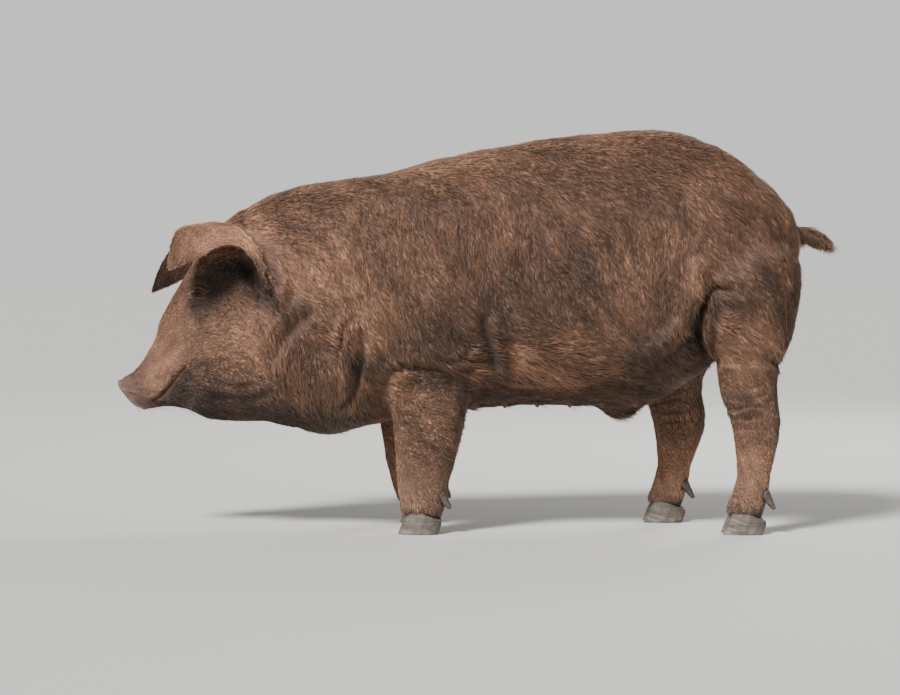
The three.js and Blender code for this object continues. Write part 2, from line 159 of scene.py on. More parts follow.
def smooth_path(knots: Sequence[Sequence[float]], steps: int = 12) -> Array:
    """A smooth line through its knots.

    Args:
        knots: Points that the line passes through.
        steps: Points per span between two knots.

    Returns:
        The points of the line, in order.
    """
    knots = np.asarray(knots, float)
    padded = np.vstack([2 * knots[0] - knots[1], knots, 2 * knots[-1] - knots[-2]])
    share = np.linspace(0, 1, steps, endpoint=False)[:, None]
    spans = []
    for before, start, end, after in zip(padded, padded[1:], padded[2:], padded[3:]):
        bend = 2 * before - 5 * start + 4 * end - after
        twist = 3 * start - before - 3 * end + after
        spans.append(start + 0.5 * share * (end - before + share * (bend + share * twist)))
    return np.vstack([*spans, knots[-1:]])


class Noise:
    """Smooth noise in space that is the same on every run."""

    SIZE = 32

    def __init__(self, seed: int) -> None:
        """Fills the lattice from a seed."""
        self.lattice = np.random.default_rng(seed).uniform(-1, 1, (self.SIZE,) * 3)

    def at(self, points: Array, scale: float | Sequence[float]) -> Array:
        """The noise at some points.

        Args:
            points: Places, in metres.
            scale: Size of the noise's lumps, in metres, the same or one for each axis.

        Returns:
            A value from -1 to 1 for each point.
        """
        spot = points / np.asarray(scale)
        cell = np.floor(spot).astype(int)
        share = smooth_step(spot - cell)
        total = np.zeros(len(points))
        for corner in np.ndindex(2, 2, 2):
            weight = np.prod(np.where(corner, share, 1 - share), axis=1)
            total += weight * self.lattice[tuple(((cell + corner) % self.SIZE).T)]
        return total


# ---- the body's plan


@dataclass(frozen=True)
class Traits:
    """How the skin and the coat of one kind of part are made. Lengths are in metres."""

    rounds: int  # smoothing rounds
    grow: float  # how far its solid is grown before the skin is cast from it
    depth: float  # how deep the skin lies under the grown solid
    hair: float  # length of a tuft
    width: float  # width of a tuft
    cover: float  # layers of tufts, one over another
    lift: float  # how far a tuft stands off the skin, in radians


TRAITS = {
    "nose": Traits(9, 0.0008, 0.001, 0.0035, 0.0006, 0.1, 0.3),
    "head": Traits(26, 0.0008, 0.0034, 0.012, 0.001, 1.05, 0.092),
    "neck": Traits(90, 0.0008, 0.0054, 0.029, 0.0014, 1.85, 0.125),
    "trunk": Traits(100, 0.0008, 0.0056, 0.032, 0.0014, 1.85, 0.12),
    "tail": Traits(7, 0.0008, 0.0022, 0.023, 0.0014, 1.8, 0.2),
    "ear": Traits(7, 0.0024, 0.0026, 0.0085, 0.0009, 0.9, 0.08),
    "upper": Traits(30, 0.0008, 0.0036, 0.0135, 0.001, 1.15, 0.115),
    "lower": Traits(20, 0.0008, 0.0026, 0.009, 0.0009, 0.95, 0.095),
}
PARTS = sorted(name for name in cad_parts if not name.startswith(("eye", "claw", "dewclaw")))


def traits_of(part: str) -> Traits:
    """The traits of a part, found by its name's first or last word."""
    words = part.split("_")
    return TRAITS.get(words[0]) or TRAITS[words[-1]]


@dataclass(frozen=True)
class BodyChart:
    """The animal seen from its side, in metres from the nose and from the floor.

    Both sides share the chart. The right hind leg stands ahead of the left one, so its points are
    moved back onto the left one's.
    """

    nose_y: float
    length: float
    height: float
    hind_y: float  # where the left hind leg stands
    hind_step: float  # how far behind that the right one stands
    hip: float = 0.73  # share of the height from which the leg swings
    swing: float = 0.45  # share of the height over which its step grows
    leg_reach: float = 0.11
    leg_fade: float = 0.09

    @classmethod
    def from_frame(cls) -> "BodyChart":
        """Reads the chart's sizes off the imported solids."""
        low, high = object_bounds()
        left, right = (sum(corner.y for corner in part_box(f"hindleg_{side.label}_lower")) / 2 for side in Side)
        return cls(low[1], high[1] - low[1], high[2], left, right - left)

    def spots(self, points: Array) -> Array:
        """The chart's (along, up) metres for points in space."""
        y, z = points[:, 1], points[:, 2]
        step = self.hind_step * smooth_step((self.hip - z / self.height) / self.swing)
        apart = np.abs(y - self.hind_y - step) - self.leg_reach
        near = 1 - smooth_step(apart / self.leg_fade)
        y = y - np.where(points[:, 0] < 0, step * near, 0)
        return np.column_stack([y - self.nose_y, z])

    def metres(self, shares: Sequence[Sequence[float]]) -> Array:
        """Turns (along, up) shares of the length and height into metres."""
        return np.asarray(shares, float)[:, :2] * (self.length, self.height)

    def in_space(self, along: float, up: float) -> Pair:
        """The Y and Z of a place given as shares of the length and height."""
        return self.nose_y + along * self.length, up * self.height


@dataclass(frozen=True)
class Marks:
    """Values set down on the body chart, blended smoothly in between.

    Each row is along, up (shares of the length and height), a value and its reach in metres.
    """

    rows: Rows
    base: float = 1.0
    hold: float = 0.15

    def weights(self, chart: BodyChart, spots: Array) -> Iterable[tuple[float, Array]]:
        """Each mark's value with its weight at every spot."""
        for place, (*_, value, reach) in zip(chart.metres(self.rows), self.rows):
            yield value, np.exp(-np.sum(((spots - place) / reach) ** 2, axis=1))

    def at(self, chart: BodyChart, spots: Array) -> Array:
        """The blended value at every spot."""
        total = np.full(len(spots), self.base * self.hold)
        weight = np.full(len(spots), self.hold)
        for value, share in self.weights(chart, spots):
            total += value * share
            weight += share
        return total / weight

    def directions(self, chart: BodyChart, spots: Array) -> Array:
        """The blended direction at every spot, where values are degrees up from straight back."""
        total = np.zeros((len(spots), 2))
        for value, share in self.weights(chart, spots):
            turn = math.radians(value)
            total += (share[:, None] + 1e-9) * (math.cos(turn), math.sin(turn))
        return unit(total)


# The lie of the coat: degrees up from straight back, on the body and on the ears.
COMB = Marks((
    (0.02, 0.38, 50, 0.04), (0.05, 0.4, 42, 0.05), (0.09, 0.47, 52, 0.05), (0.12, 0.62, 66, 0.06),
    (0.12, 0.46, 28, 0.05), (0.14, 0.52, 8, 0.05), (0.17, 0.47, -18, 0.06), (0.21, 0.5, -38, 0.06),
    (0.18, 0.58, -12, 0.06), (0.18, 0.74, 24, 0.06), (0.14, 0.39, 2, 0.05), (0.12, 0.33, 4, 0.05),
    (0.18, 0.36, 2, 0.05), (0.07, 0.33, -4, 0.05), (0.235, 0.45, -122, 0.05), (0.27, 0.41, -92, 0.05),
    (0.26, 0.33, -78, 0.06), (0.31, 0.39, -70, 0.05), (0.22, 0.33, -30, 0.05), (0.26, 0.57, -40, 0.07),
    (0.29, 0.65, -42, 0.08), (0.25, 0.8, -16, 0.07), (0.37, 0.84, -54, 0.07), (0.31, 0.86, -22, 0.05),
    (0.4, 0.7, -58, 0.09), (0.38, 0.6, -46, 0.08), (0.4, 0.5, -48, 0.08), (0.46, 0.9, -38, 0.09),
    (0.61, 0.94, -30, 0.12), (0.75, 0.95, -30, 0.1), (0.53, 0.72, -68, 0.09), (0.54, 0.65, -20, 0.035),
    (0.61, 0.7, -62, 0.09), (0.5, 0.5, -18, 0.07), (0.62, 0.43, -4, 0.09), (0.7, 0.56, -56, 0.09),
    (0.75, 0.67, -68, 0.08), (0.72, 0.47, -30, 0.08), (0.8, 0.82, -52, 0.1), (0.88, 0.77, -56, 0.09),
    (0.86, 0.63, -54, 0.08), (0.78, 0.56, -96, 0.04), (0.85, 0.48, -16, 0.06), (0.81, 0.5, 6, 0.04),
    (0.92, 0.58, -82, 0.06), (0.97, 0.62, -70, 0.06), (0.86, 0.39, -34, 0.06), (0.86, 0.29, -58, 0.06),
    (0.87, 0.12, -66, 0.09), (0.4, 0.37, -34, 0.05), (0.41, 0.27, -14, 0.06), (0.42, 0.15, -34, 0.07),
    (0.42, 0.05, -62, 0.05),
))
EAR_COMB = Marks((
    (0.22, 0.6, 98, 0.05), (0.205, 0.7, 122, 0.05), (0.18, 0.76, 172, 0.05), (0.13, 0.75, 196, 0.06),
    (0.1, 0.72, 236, 0.05), (0.08, 0.66, 262, 0.05), (0.04, 0.6, 256, 0.05),
))
# How much longer or shorter than its part's own the hair is.
HAIR_LENGTH = Marks((
    (0.055, 0.64, 0.45, 0.045), (0.03, 0.38, 0.3, 0.05), (0.07, 0.42, 0.62, 0.05), (0.1, 0.55, 0.85, 0.06),
    (0.13, 0.59, 0.45, 0.03), (0.16, 0.45, 1.1, 0.06), (0.104, 0.345, 1.6, 0.02), (0.14, 0.35, 1.45, 0.05),
    (0.2, 0.38, 1.75, 0.06), (0.26, 0.4, 1.25, 0.07), (0.27, 0.28, 1.2, 0.07), (0.48, 0.41, 1.35, 0.05),
    (0.79, 0.53, 1.15, 0.06), (0.62, 0.31, 1.1, 0.1), (0.41, 0.065, 1.7, 0.02), (0.87, 0.065, 1.7, 0.02),
    (0.45, 0.25, 1.5, 0.04), (0.91, 0.25, 1.4, 0.04),
))
# How much lighter or darker than the rest the hide and the hair are painted: mostly painted light and shade.
PAINTED_LIGHT_AND_TONE = Marks((
    # snout, lips and chin: painted light on the snout's top, painted shade at the mouth's corner and under the
    # chin
    (0.015, 0.38, 1.3, 0.03), (0.06, 0.42, 2.6, 0.035), (0.09, 0.5, 1.9, 0.035), (0.05, 0.36, 2.5, 0.025),
    (0.104, 0.345, 0.38, 0.02), (0.088, 0.35, 0.42, 0.014), (0.099, 0.385, 0.6, 0.01),
    (0.07, 0.312, 0.22, 0.022), (0.13, 0.31, 0.44, 0.03),
    # eye and ear opening: painted shade under the ear and in its opening, painted highlights on the lids and a
    # notch of the ear; darker below the eye
    (0.11, 0.655, 1.2, 0.018), (0.13, 0.585, 0.34, 0.018), (0.1136, 0.599, 0.95, 0.005),
    (0.1136, 0.58, 0.9, 0.004), (0.15, 0.62, 0.36, 0.024), (0.175, 0.64, 0.32, 0.026),
    (0.112, 0.56, 0.36, 0.009), (0.117, 0.53, 0.5, 0.009), (0.173, 0.606, 1.6, 0.01),
    (0.195, 0.637, 0.32, 0.018), (0.207, 0.605, 0.26, 0.015), (0.219, 0.586, 0.28, 0.012),
    # top of the ear: painted light where it faces up
    (0.13, 0.745, 2.9, 0.035), (0.185, 0.73, 2.4, 0.03), (0.085, 0.67, 1.8, 0.025),
    # cheek and jowl: painted light on the cheek and on small swellings, painted shade under the jaw and in the
    # cleft behind the jowl
    (0.16, 0.535, 1.7, 0.026), (0.18, 0.47, 2.9, 0.045), (0.14, 0.42, 1.75, 0.03), (0.19, 0.4, 1.9, 0.03),
    (0.22, 0.5, 1.05, 0.028), (0.25, 0.54, 0.95, 0.028), (0.2, 0.33, 0.75, 0.034), (0.302, 0.496, 1.8, 0.01),
    (0.34, 0.526, 1.9, 0.01), (0.27, 0.43, 1.1, 0.04), (0.3, 0.36, 1.1, 0.036), (0.215, 0.275, 0.4, 0.026),
    (0.26, 0.27, 0.32, 0.034), (0.31, 0.285, 0.38, 0.028), (0.338, 0.42, 0.28, 0.018),
    # neck and shoulder: painted light on the neck's side and the shoulder, painted shade behind the shoulder
    # and the elbow
    (0.27, 0.66, 1.75, 0.055), (0.28, 0.76, 1.35, 0.05), (0.34, 0.58, 1.55, 0.05), (0.38, 0.82, 1.02, 0.05),
    (0.4, 0.68, 1.35, 0.05), (0.369, 0.642, 1.3, 0.035), (0.416, 0.59, 1.2, 0.03), (0.41, 0.47, 0.76, 0.04),
    (0.45, 0.534, 0.72, 0.034), (0.44, 0.42, 0.66, 0.024), (0.521, 0.39, 0.4, 0.014),
    (0.516, 0.435, 0.42, 0.017), (0.509, 0.495, 0.5, 0.026), (0.508, 0.58, 0.66, 0.034),
    (0.544, 0.672, 0.66, 0.028),
    # barrel: painted light on the back and the roll of the belly, painted shade in small dents and low on the
    # belly
    (0.5, 0.93, 1.05, 0.07), (0.55, 0.8, 1.12, 0.05), (0.61, 0.777, 1.28, 0.03), (0.648, 0.837, 1.2, 0.03),
    (0.686, 0.755, 0.8, 0.034), (0.638, 0.627, 0.72, 0.034), (0.58, 0.6, 0.85, 0.034),
    (0.696, 0.629, 1.25, 0.036), (0.74, 0.56, 0.82, 0.034), (0.72, 0.888, 0.66, 0.013),
    (0.769, 0.802, 0.66, 0.012), (0.609, 0.437, 1.65, 0.04), (0.556, 0.43, 2.1, 0.024),
    (0.667, 0.478, 1.15, 0.03), (0.57, 0.52, 0.86, 0.034), (0.52, 0.318, 0.4, 0.026),
    (0.56, 0.316, 0.36, 0.026), (0.6, 0.314, 0.36, 0.026), (0.64, 0.32, 0.36, 0.028),
    (0.68, 0.325, 0.4, 0.03), (0.72, 0.35, 0.45, 0.03), (0.725, 0.44, 0.46, 0.034), (0.68, 0.97, 1.2, 0.06),
    # hind quarter: painted highlight on the flank's roll, painted shade in its fold and at the back of the ham,
    # painted light on hip and stifle; lighter down the leg
    (0.796, 0.65, 1.55, 0.02), (0.787, 0.59, 1.45, 0.016), (0.8, 0.56, 0.5, 0.02), (0.8, 0.48, 0.2, 0.02),
    (0.84, 0.88, 1.25, 0.06), (0.84, 0.77, 1.25, 0.05), (0.93, 0.72, 0.78, 0.045), (0.88, 0.62, 0.74, 0.04),
    (0.94, 0.56, 0.6, 0.044), (0.828, 0.5, 1.7, 0.028), (0.88, 0.49, 1.6, 0.036), (0.91, 0.43, 0.9, 0.022),
    (0.855, 0.4, 1.55, 0.028), (0.86, 0.33, 1.2, 0.028), (0.87, 0.26, 1.7, 0.034), (0.87, 0.15, 2.8, 0.045),
    (0.87, 0.03, 1.0, 0.022),
    # forelegs: painted light on the sleeve's roll; lighter down the leg
    (0.395, 0.375, 1.9, 0.02), (0.429, 0.33, 1.75, 0.034), (0.39, 0.3, 1.3, 0.03), (0.41, 0.22, 2.2, 0.045),
    (0.41, 0.12, 2.1, 0.04), (0.42, 0.03, 1.0, 0.022),
), hold=0.05)
# How strongly the hair curls and waves.
CURL = Marks((
    (0.1, 0.5, 0.6, 0.07), (0.4, 0.36, 2.1, 0.045), (0.54, 0.65, 1.6, 0.04), (0.5, 0.5, 1.9, 0.055),
    (0.27, 0.45, 1.7, 0.05), (0.31, 0.5, 1.6, 0.04), (0.3, 0.33, 1.4, 0.05), (0.8, 0.5, 1.5, 0.04),
    (0.86, 0.42, 1.7, 0.04), (0.41, 0.18, 0.6, 0.07), (0.87, 0.18, 0.6, 0.07),
), hold=0.25)
# Bare or nearly bare skin: 1 is bare.
BARE = Marks((
    (0.02, 0.34, 1.0, 0.03), (0.05, 0.41, 0.15, 0.035), (0.121, 0.59, 0.85, 0.014), (0.2, 0.62, 0.55, 0.014),
    (0.07, 0.32, 0.35, 0.02),
), base=0.0)


@dataclass(frozen=True)
class Fold:
    """A groove in the skin along a smooth line on the body chart, or a roll if depth is below 0."""

    path: Rows
    depth: float
    width: float
    wraps: bool = False  # whether it runs on round the leg, out of the side's view
    lip: float = 0.32  # how high its edges rise, as a share of its depth
    lip_at: float = 2.1  # how far from the line its edges rise, in widths
    reach: float = 4.0  # how far from the line it is felt, in widths
    run_in: float = 0.25  # share of the line over which it deepens at each end
    blunt: float = 0.15  # how open it is at its very ends

    def height(self, chart: BodyChart, spots: Array, facing: Array) -> Array:
        """How far the fold moves the skin out at every spot.

        Args:
            chart: The body chart.
            spots: Places on the chart.
            facing: How squarely the skin there faces the side, from 0 to 1.

        Returns:
            A height for each spot, in metres.
        """
        line = smooth_path(chart.metres(self.path))
        reach = self.reach * self.width
        inside = np.all((spots > line.min(0) - reach) & (spots < line.max(0) + reach), axis=1)
        near = np.flatnonzero(inside)
        height = np.zeros(len(spots))
        if not len(near):
            return height
        gaps = np.linalg.norm(spots[near, None] - line[None], axis=2)
        nearest = gaps.argmin(axis=1)
        apart = gaps[np.arange(len(near)), nearest] / self.width
        share = nearest / (len(line) - 1)
        taper = smooth_step(np.minimum(share, 1 - share) / self.run_in + self.blunt)
        profile = -np.exp(-(apart**2))
        if self.depth > 0 and not self.wraps:
            profile += self.lip * np.exp(-((apart - self.lip_at) ** 2))
        height[near] = self.depth * taper * profile
        return height if self.wraps else height * facing


# Each is its line on the chart, its depth and its width.
FOLDS = (
    # the opening of the ear
    Fold(
        ((0.18, 0.672), (0.189, 0.645), (0.2, 0.615), (0.212, 0.592), (0.224, 0.576)),
        0.019, 0.0115, lip=0.05,
    ),
    Fold(((0.206, 0.665), (0.215, 0.635), (0.225, 0.607), (0.2345, 0.582), (0.242, 0.562)), -0.006, 0.006),
    # jowl and cheek
    Fold(
        ((0.336, 0.505), (0.342, 0.456), (0.342, 0.427), (0.338, 0.393), (0.331, 0.355), (0.321, 0.32)),
        0.013, 0.0135,
    ),
    Fold(((0.332, 0.545), (0.32, 0.524), (0.315, 0.495), (0.313, 0.455)), 0.007, 0.0065),
    Fold(((0.28, 0.548), (0.256, 0.523), (0.24, 0.489), (0.229, 0.45), (0.218, 0.406)), 0.006, 0.016),
    Fold(((0.132, 0.416), (0.154, 0.399), (0.182, 0.399), (0.208, 0.414)), 0.0014, 0.008),
    Fold(((0.133, 0.384), (0.158, 0.366), (0.189, 0.366), (0.216, 0.384)), 0.0018, 0.0085),
    Fold(((0.131, 0.35), (0.158, 0.334), (0.192, 0.335), (0.222, 0.355)), 0.0022, 0.0085),
    # mouth, from its corner down and forward to the nose
    Fold(
        ((0.106, 0.432), (0.1005, 0.41), (0.0933, 0.396), (0.0864, 0.38), (0.0794, 0.365), (0.0725, 0.35),
         (0.0613, 0.33), (0.044, 0.316)),
        0.0075, 0.0052, lip=0.0,
    ),
    # sleeve of skin round the top of the foreleg, and the elbow's wrinkles
    Fold(
        ((0.368, 0.372), (0.38, 0.402), (0.402, 0.419), (0.43, 0.414), (0.458, 0.398), (0.484, 0.37)),
        0.006, 0.009,
    ),
    Fold(((0.446, 0.439), (0.464, 0.439), (0.476, 0.451), (0.486, 0.472)), 0.006, 0.006),
    Fold(((0.458, 0.424), (0.473, 0.411), (0.494, 0.407)), 0.006, 0.0055),
    Fold(((0.488, 0.376), (0.481, 0.346), (0.477, 0.31), (0.473, 0.27)), 0.0034, 0.008, wraps=True),
    Fold(((0.376, 0.332), (0.396, 0.322), (0.418, 0.325)), 0.0022, 0.0075, wraps=True),
    Fold(((0.506, 0.56), (0.507, 0.51), (0.513, 0.46), (0.521, 0.4)), 0.01, 0.015, lip=0.1),
    # flank
    Fold(
        ((0.797, 0.7), (0.796, 0.652), (0.789, 0.598), (0.777, 0.539), (0.754, 0.488), (0.726, 0.45)),
        -0.014, 0.019,
    ),
    Fold(
        ((0.852, 0.596), (0.829, 0.608), (0.814, 0.612), (0.804, 0.575), (0.797, 0.529), (0.798, 0.483),
         (0.807, 0.449), (0.819, 0.425)),
        0.016, 0.01,
    ),
    # gaskin and hock
    Fold(((0.834, 0.38), (0.854, 0.363), (0.881, 0.371), (0.892, 0.395)), 0.0014, 0.007, wraps=True),
    Fold(((0.836, 0.345), (0.856, 0.333), (0.881, 0.346), (0.894, 0.373)), 0.0011, 0.0065, wraps=True),
    Fold(((0.834, 0.316), (0.849, 0.309), (0.871, 0.321), (0.893, 0.311)), 0.0034, 0.0055, wraps=True),
    Fold(((0.842, 0.291), (0.865, 0.288), (0.89, 0.296)), 0.0022, 0.0055, wraps=True),
    Fold(((0.848, 0.266), (0.865, 0.263), (0.883, 0.27)), 0.0012, 0.005, wraps=True),
    Fold(((0.889, 0.452), (0.903, 0.43), (0.913, 0.414)), 0.006, 0.008, wraps=True),
    # knee and pasterns
    Fold(((0.383, 0.196), (0.4, 0.19), (0.43, 0.192)), 0.001, 0.006, wraps=True),
    Fold(((0.385, 0.17), (0.405, 0.163), (0.43, 0.169)), 0.0008, 0.006, wraps=True),
    Fold(((0.386, 0.088), (0.41, 0.08), (0.44, 0.088)), 0.0009, 0.006, wraps=True),
    Fold(((0.846, 0.094), (0.866, 0.084), (0.892, 0.096)), 0.0009, 0.006, wraps=True),
)
# Soft swellings of the sides: along, up, reach along, reach up, height. Reaches and height in metres.
SWELLS: Rows = (
    (0.296, 0.384, 0.046, 0.055, 0.008),  # pouch of the jowl
    (0.302, 0.496, 0.008, 0.008, 0.005),
    (0.34, 0.526, 0.009, 0.007, 0.006),
    (0.072, 0.392, 0.026, 0.026, 0.005),  # lip over the tusk
    (0.104, 0.343, 0.02, 0.028, -0.009),  # hollow under the corner of the mouth
    (0.133, 0.38, 0.024, 0.05, 0.006),  # cheek behind the mouth
    (0.121, 0.618, 0.026, 0.009, 0.0035),  # brow
    (0.147, 0.56, 0.03, 0.024, 0.004),  # cheekbone
    (0.4, 0.385, 0.03, 0.022, 0.0035),  # roll of the sleeve
    (0.826, 0.52, 0.034, 0.065, 0.008),  # stifle
    (0.45, 0.47, 0.04, 0.07, 0.005),  # back of the upper arm
    (0.236, 0.6, 0.012, 0.022, 0.006),  # root of the ear behind its opening
    (0.865, 0.302, 0.012, 0.006, 0.003),
    (0.56, 0.52, 0.09, 0.05, 0.003),
    (0.44, 0.56, 0.06, 0.08, 0.004),
)


# ---- meshes


def new_object(name: str, data: bpy.types.ID) -> Piece:
    """Puts a mesh, a lamp or a camera into the scene, at the origin."""
    piece = bpy.data.objects.new(name, data)
    bpy.context.scene.collection.objects.link(piece)
    return piece


def mesh_from(bm: bmesh.types.BMesh, name: str) -> Mesh:
    """Turns a bmesh into a smooth-shaded mesh and frees it."""
    mesh = bpy.data.meshes.new(name)
    bm.to_mesh(mesh)
    bm.free()
    mesh.shade_smooth()
    return mesh


def baked(piece: Piece) -> Piece:
    """Applies an object's modifiers to its mesh."""
    depsgraph = bpy.context.evaluated_depsgraph_get()
    mesh = bpy.data.meshes.new_from_object(piece.evaluated_get(depsgraph))
    piece.modifiers.clear()
    piece.data = mesh
    return piece


def solid_of(node: str) -> bmesh.types.BMesh:
    """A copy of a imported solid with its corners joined."""
    bm = bmesh.new()
    bm.from_mesh(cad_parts[node].data)
    bmesh.ops.remove_doubles(bm, verts=bm.verts, dist=SAME_PLACE)
    return bm


def evened(piece: Piece, voxel: float) -> Piece:
    """Lays one even mesh round an object's parts."""
    even = piece.modifiers.new("even", "REMESH")
    even.mode = "VOXEL"
    even.voxel_size = voxel
    return baked(piece)


def set_attribute(mesh: Mesh, name: str, values: Array) -> None:
    """Writes a number or a vector for each vertex."""
    kind, key = ("FLOAT", "value") if values.ndim == 1 else ("FLOAT_VECTOR", "vector")
    attribute = mesh.attributes.get(name) or mesh.attributes.new(name, kind, "POINT")
    attribute.data.foreach_set(key, np.ascontiguousarray(values, np.float32).ravel())


def get_attribute(mesh: Mesh, name: str) -> Array:
    """Reads back a number for each vertex."""
    values = np.zeros(len(mesh.vertices), np.float32)
    mesh.attributes[name].data.foreach_get("value", values)
    return values.astype(float)


class Surface:
    """A mesh read into arrays, to be smoothed and pushed about, and written back."""

    def __init__(self, mesh: Mesh) -> None:
        """Reads the points and who is next to whom."""
        self.mesh = mesh
        count = len(mesh.vertices)
        self.points = np.zeros(count * 3, np.float32)
        mesh.vertices.foreach_get("co", self.points)
        self.points = self.points.reshape(-1, 3).astype(float)
        edges = np.zeros(len(mesh.edges) * 2, np.int32)
        mesh.edges.foreach_get("vertices", edges)
        edges = edges.reshape(-1, 2)
        ends = np.concatenate([edges, edges[:, ::-1]])
        ends = ends[np.argsort(ends[:, 0], kind="stable")]
        self.beside = ends[:, 1]
        self.starts = np.searchsorted(ends[:, 0], np.arange(count))
        self.degree = np.bincount(ends[:, 0], minlength=count)

    def average(self, values: Array) -> Array:
        """The mean over each vertex's neighbours."""
        total = np.add.reduceat(values[self.beside], self.starts, axis=0)
        return total / (self.degree[:, None] if values.ndim > 1 else self.degree)

    def blurred(self, values: Array, rounds: int) -> Array:
        """The values, spread over their surroundings."""
        for _ in range(rounds):
            values = 0.5 * values + 0.5 * self.average(values)
        return values

    def relax(self, rounds: Array) -> None:
        """Smooths the points, each for its own number of rounds."""
        for done in range(int(rounds.max()) + 1):
            share = 0.5 * np.clip(rounds - done, 0, 1)[:, None]
            self.points += share * (self.average(self.points) - self.points)

    def normals(self) -> Array:
        """The outward direction at each vertex."""
        self.write()
        values = np.zeros(len(self.points) * 3, np.float32)
        self.mesh.vertex_normals.foreach_get("vector", values)
        return values.reshape(-1, 3).astype(float)

    def push(self, heights: Array) -> None:
        """Moves each point out along its normal."""
        self.points += self.normals() * heights[:, None]

    def write(self) -> None:
        """Puts the points back into the mesh."""
        self.mesh.vertices.foreach_set("co", self.points.astype(np.float32).ravel())
        self.mesh.update()


# ---- eyes and nose


@dataclass(frozen=True)
class EyePlan:
    """Where an eye sits, which way it looks, and the slit between its lids."""

    centre: Vector
    radius: float
    side: Side
    forward: float = 0.36  # how far the eye looks ahead, in radians
    upward: float = 0.08
    slope: float = -0.1  # how far the slit's rear end hangs, in radians
    half_length: float = 0.0195
    upper: float = 0.0048  # how far the slit opens above its middle line
    upper_arch: float = 0.6  # lower is squarer
    lower: float = 0.0042
    lower_arch: float = 0.8
    droop: float = 0.0012  # how far the slit's ends are drawn out of level
    lid: float = 0.0022  # thickness of the lids over the ball
    blend: float = 0.0055  # how softly the lids run into the head
    reach: float = 3.2  # how far round the ball the head is shaped, in radii
    behind: float = 0.004  # and how far behind its middle
    draw: Bump = Bump(0.8, 0.0006)  # share by which points near the slit's edge are drawn onto it
    rim: Bump = Bump(0.0007, 0.0014)  # the lids' rounded edge
    wall: Ramp = Ramp(0.0, 0.0007)  # how steeply the skin drops inside the slit
    sunk: float = 0.004  # how far it drops
    crease_length: float = 1.5  # in half lengths of the slit
    # creases, and rolls where the height is below 0, by their distance above and below the slit
    above: tuple[Bump, ...] = (
        Bump(0.0007, 0.001, 0.0036), Bump(0.0024, 0.0017, 0.0074),
        Bump(-0.0026, 0.003, 0.013), Bump(0.0018, 0.003, 0.019),
    )
    below: tuple[Bump, ...] = (
        Bump(0.0015, 0.0014, 0.0048), Bump(0.0016, 0.0018, 0.0092),
        Bump(-0.0014, 0.003, 0.0145), Bump(0.0012, 0.0026, 0.02),
    )
    lash_span: Pair = (-0.85, 0.9)  # in half lengths of the slit
    lash_gap: float = 0.0006  # from the lid's edge
    lash_dip: Pair = (0.45, 0.75)  # how far upper and lower lashes hang
    lash_fan: float = 0.35

    @classmethod
    def from_frame(cls, side: Side) -> "EyePlan":
        """Reads an eye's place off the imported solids."""
        low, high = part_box(f"eye_{side.label}")
        return cls((low + high) / 2, (high.z - low.z) / 2, side)

    @property
    def axes(self) -> Matrix:
        """Rows: along the slit to the rear, up across it, and out of the head."""
        level = Vector((self.side.value * math.cos(self.forward), -math.sin(self.forward), 0.0))
        out = (level + Vector((0.0, 0.0, math.sin(self.upward)))).normalized()
        along = Vector((0.0, math.cos(self.slope), math.sin(self.slope)))
        along = (along - out * along.dot(out)).normalized()
        up = out.cross(along) * self.side.value
        return Matrix((along, up.normalized(), out))

    def local(self, points: Array) -> Array:
        """Points in the eye's own axes."""
        return (points - np.array(self.centre)) @ np.array(self.axes).T

    def edges(self, along: Array) -> tuple[Array, Array]:
        """The upper and the lower edge of the slit, along it."""
        share = np.clip(along / self.half_length, -1, 1)
        droop = -self.droop * share
        upper = self.upper * (1 - share**2) ** self.upper_arch + droop
        lower = -self.lower * (1 - share**2) ** self.lower_arch + droop
        return upper, lower

    def open_lids(self, points: Array) -> Array:
        """Shapes the lids over the ball and the slit between them.

        Args:
            points: The skin's points.

        Returns:
            The points, moved where they lie near the eye.
        """
        spots = self.local(points)
        beside = np.linalg.norm(spots, axis=1) < self.reach * self.radius
        near = np.flatnonzero(beside & (spots[:, 2] > -self.behind))
        along, across, out = spots[near].T
        for edge in self.edges(along):
            gap = edge - across
            across = across + self.draw.height * gap * np.exp(-((gap / self.draw.width) ** 2))
        spots[near, 1] = across
        reach = np.hypot(along, across)
        ball = self.radius + self.lid
        dome = np.sqrt(np.maximum(ball**2 - reach**2, 0))
        over = dome - out
        soft = np.maximum(over + self.blend, 0) ** 2 / (4 * self.blend)
        lidded = out + np.where(over > self.blend, over, soft)
        upper, lower = self.edges(along)
        inside = np.minimum(upper - across, across - lower)
        beyond = np.maximum(np.abs(along) - self.half_length, 0)
        edge = np.hypot(np.maximum(-inside, 0), beyond)
        fade = np.exp(-((along / (self.crease_length * self.half_length)) ** 4))
        for creases, apart in ((self.above, across - upper), (self.below, lower - across)):
            for crease in creases:
                lidded -= crease.over(apart, fade)
        lidded += self.rim.over(edge) * (beyond <= 0)
        lidded -= self.sunk * self.wall.over(inside) * (beyond <= 0)
        moved = points.copy()
        spots[near, 2] = lidded
        moved[near] = spots[near] @ np.array(self.axes) + np.array(self.centre)
        return moved

    def lash_roots(self, count: int, upper_lid: bool) -> tuple[Array, Array]:
        """Where lashes stand on a lid's edge, and which way they point.

        Args:
            count: How many lashes.
            upper_lid: Whether they are on the upper lid.

        Returns:
            Root points and unit directions.
        """
        along = np.linspace(*self.lash_span, count) * self.half_length
        upper, lower = self.edges(along)
        across = upper + self.lash_gap if upper_lid else lower - self.lash_gap
        out = np.sqrt(np.maximum((self.radius + self.lid) ** 2 - along**2 - across**2, 1e-6))
        fan = along / self.half_length * self.lash_fan
        dip = self.lash_dip[0 if upper_lid else 1]
        aim = np.column_stack([fan, np.full(count, -dip), np.ones(count)])
        axes = np.array(self.axes)
        roots = np.column_stack([along, across, out]) @ axes + np.array(self.centre)
        return roots, unit(aim @ axes)


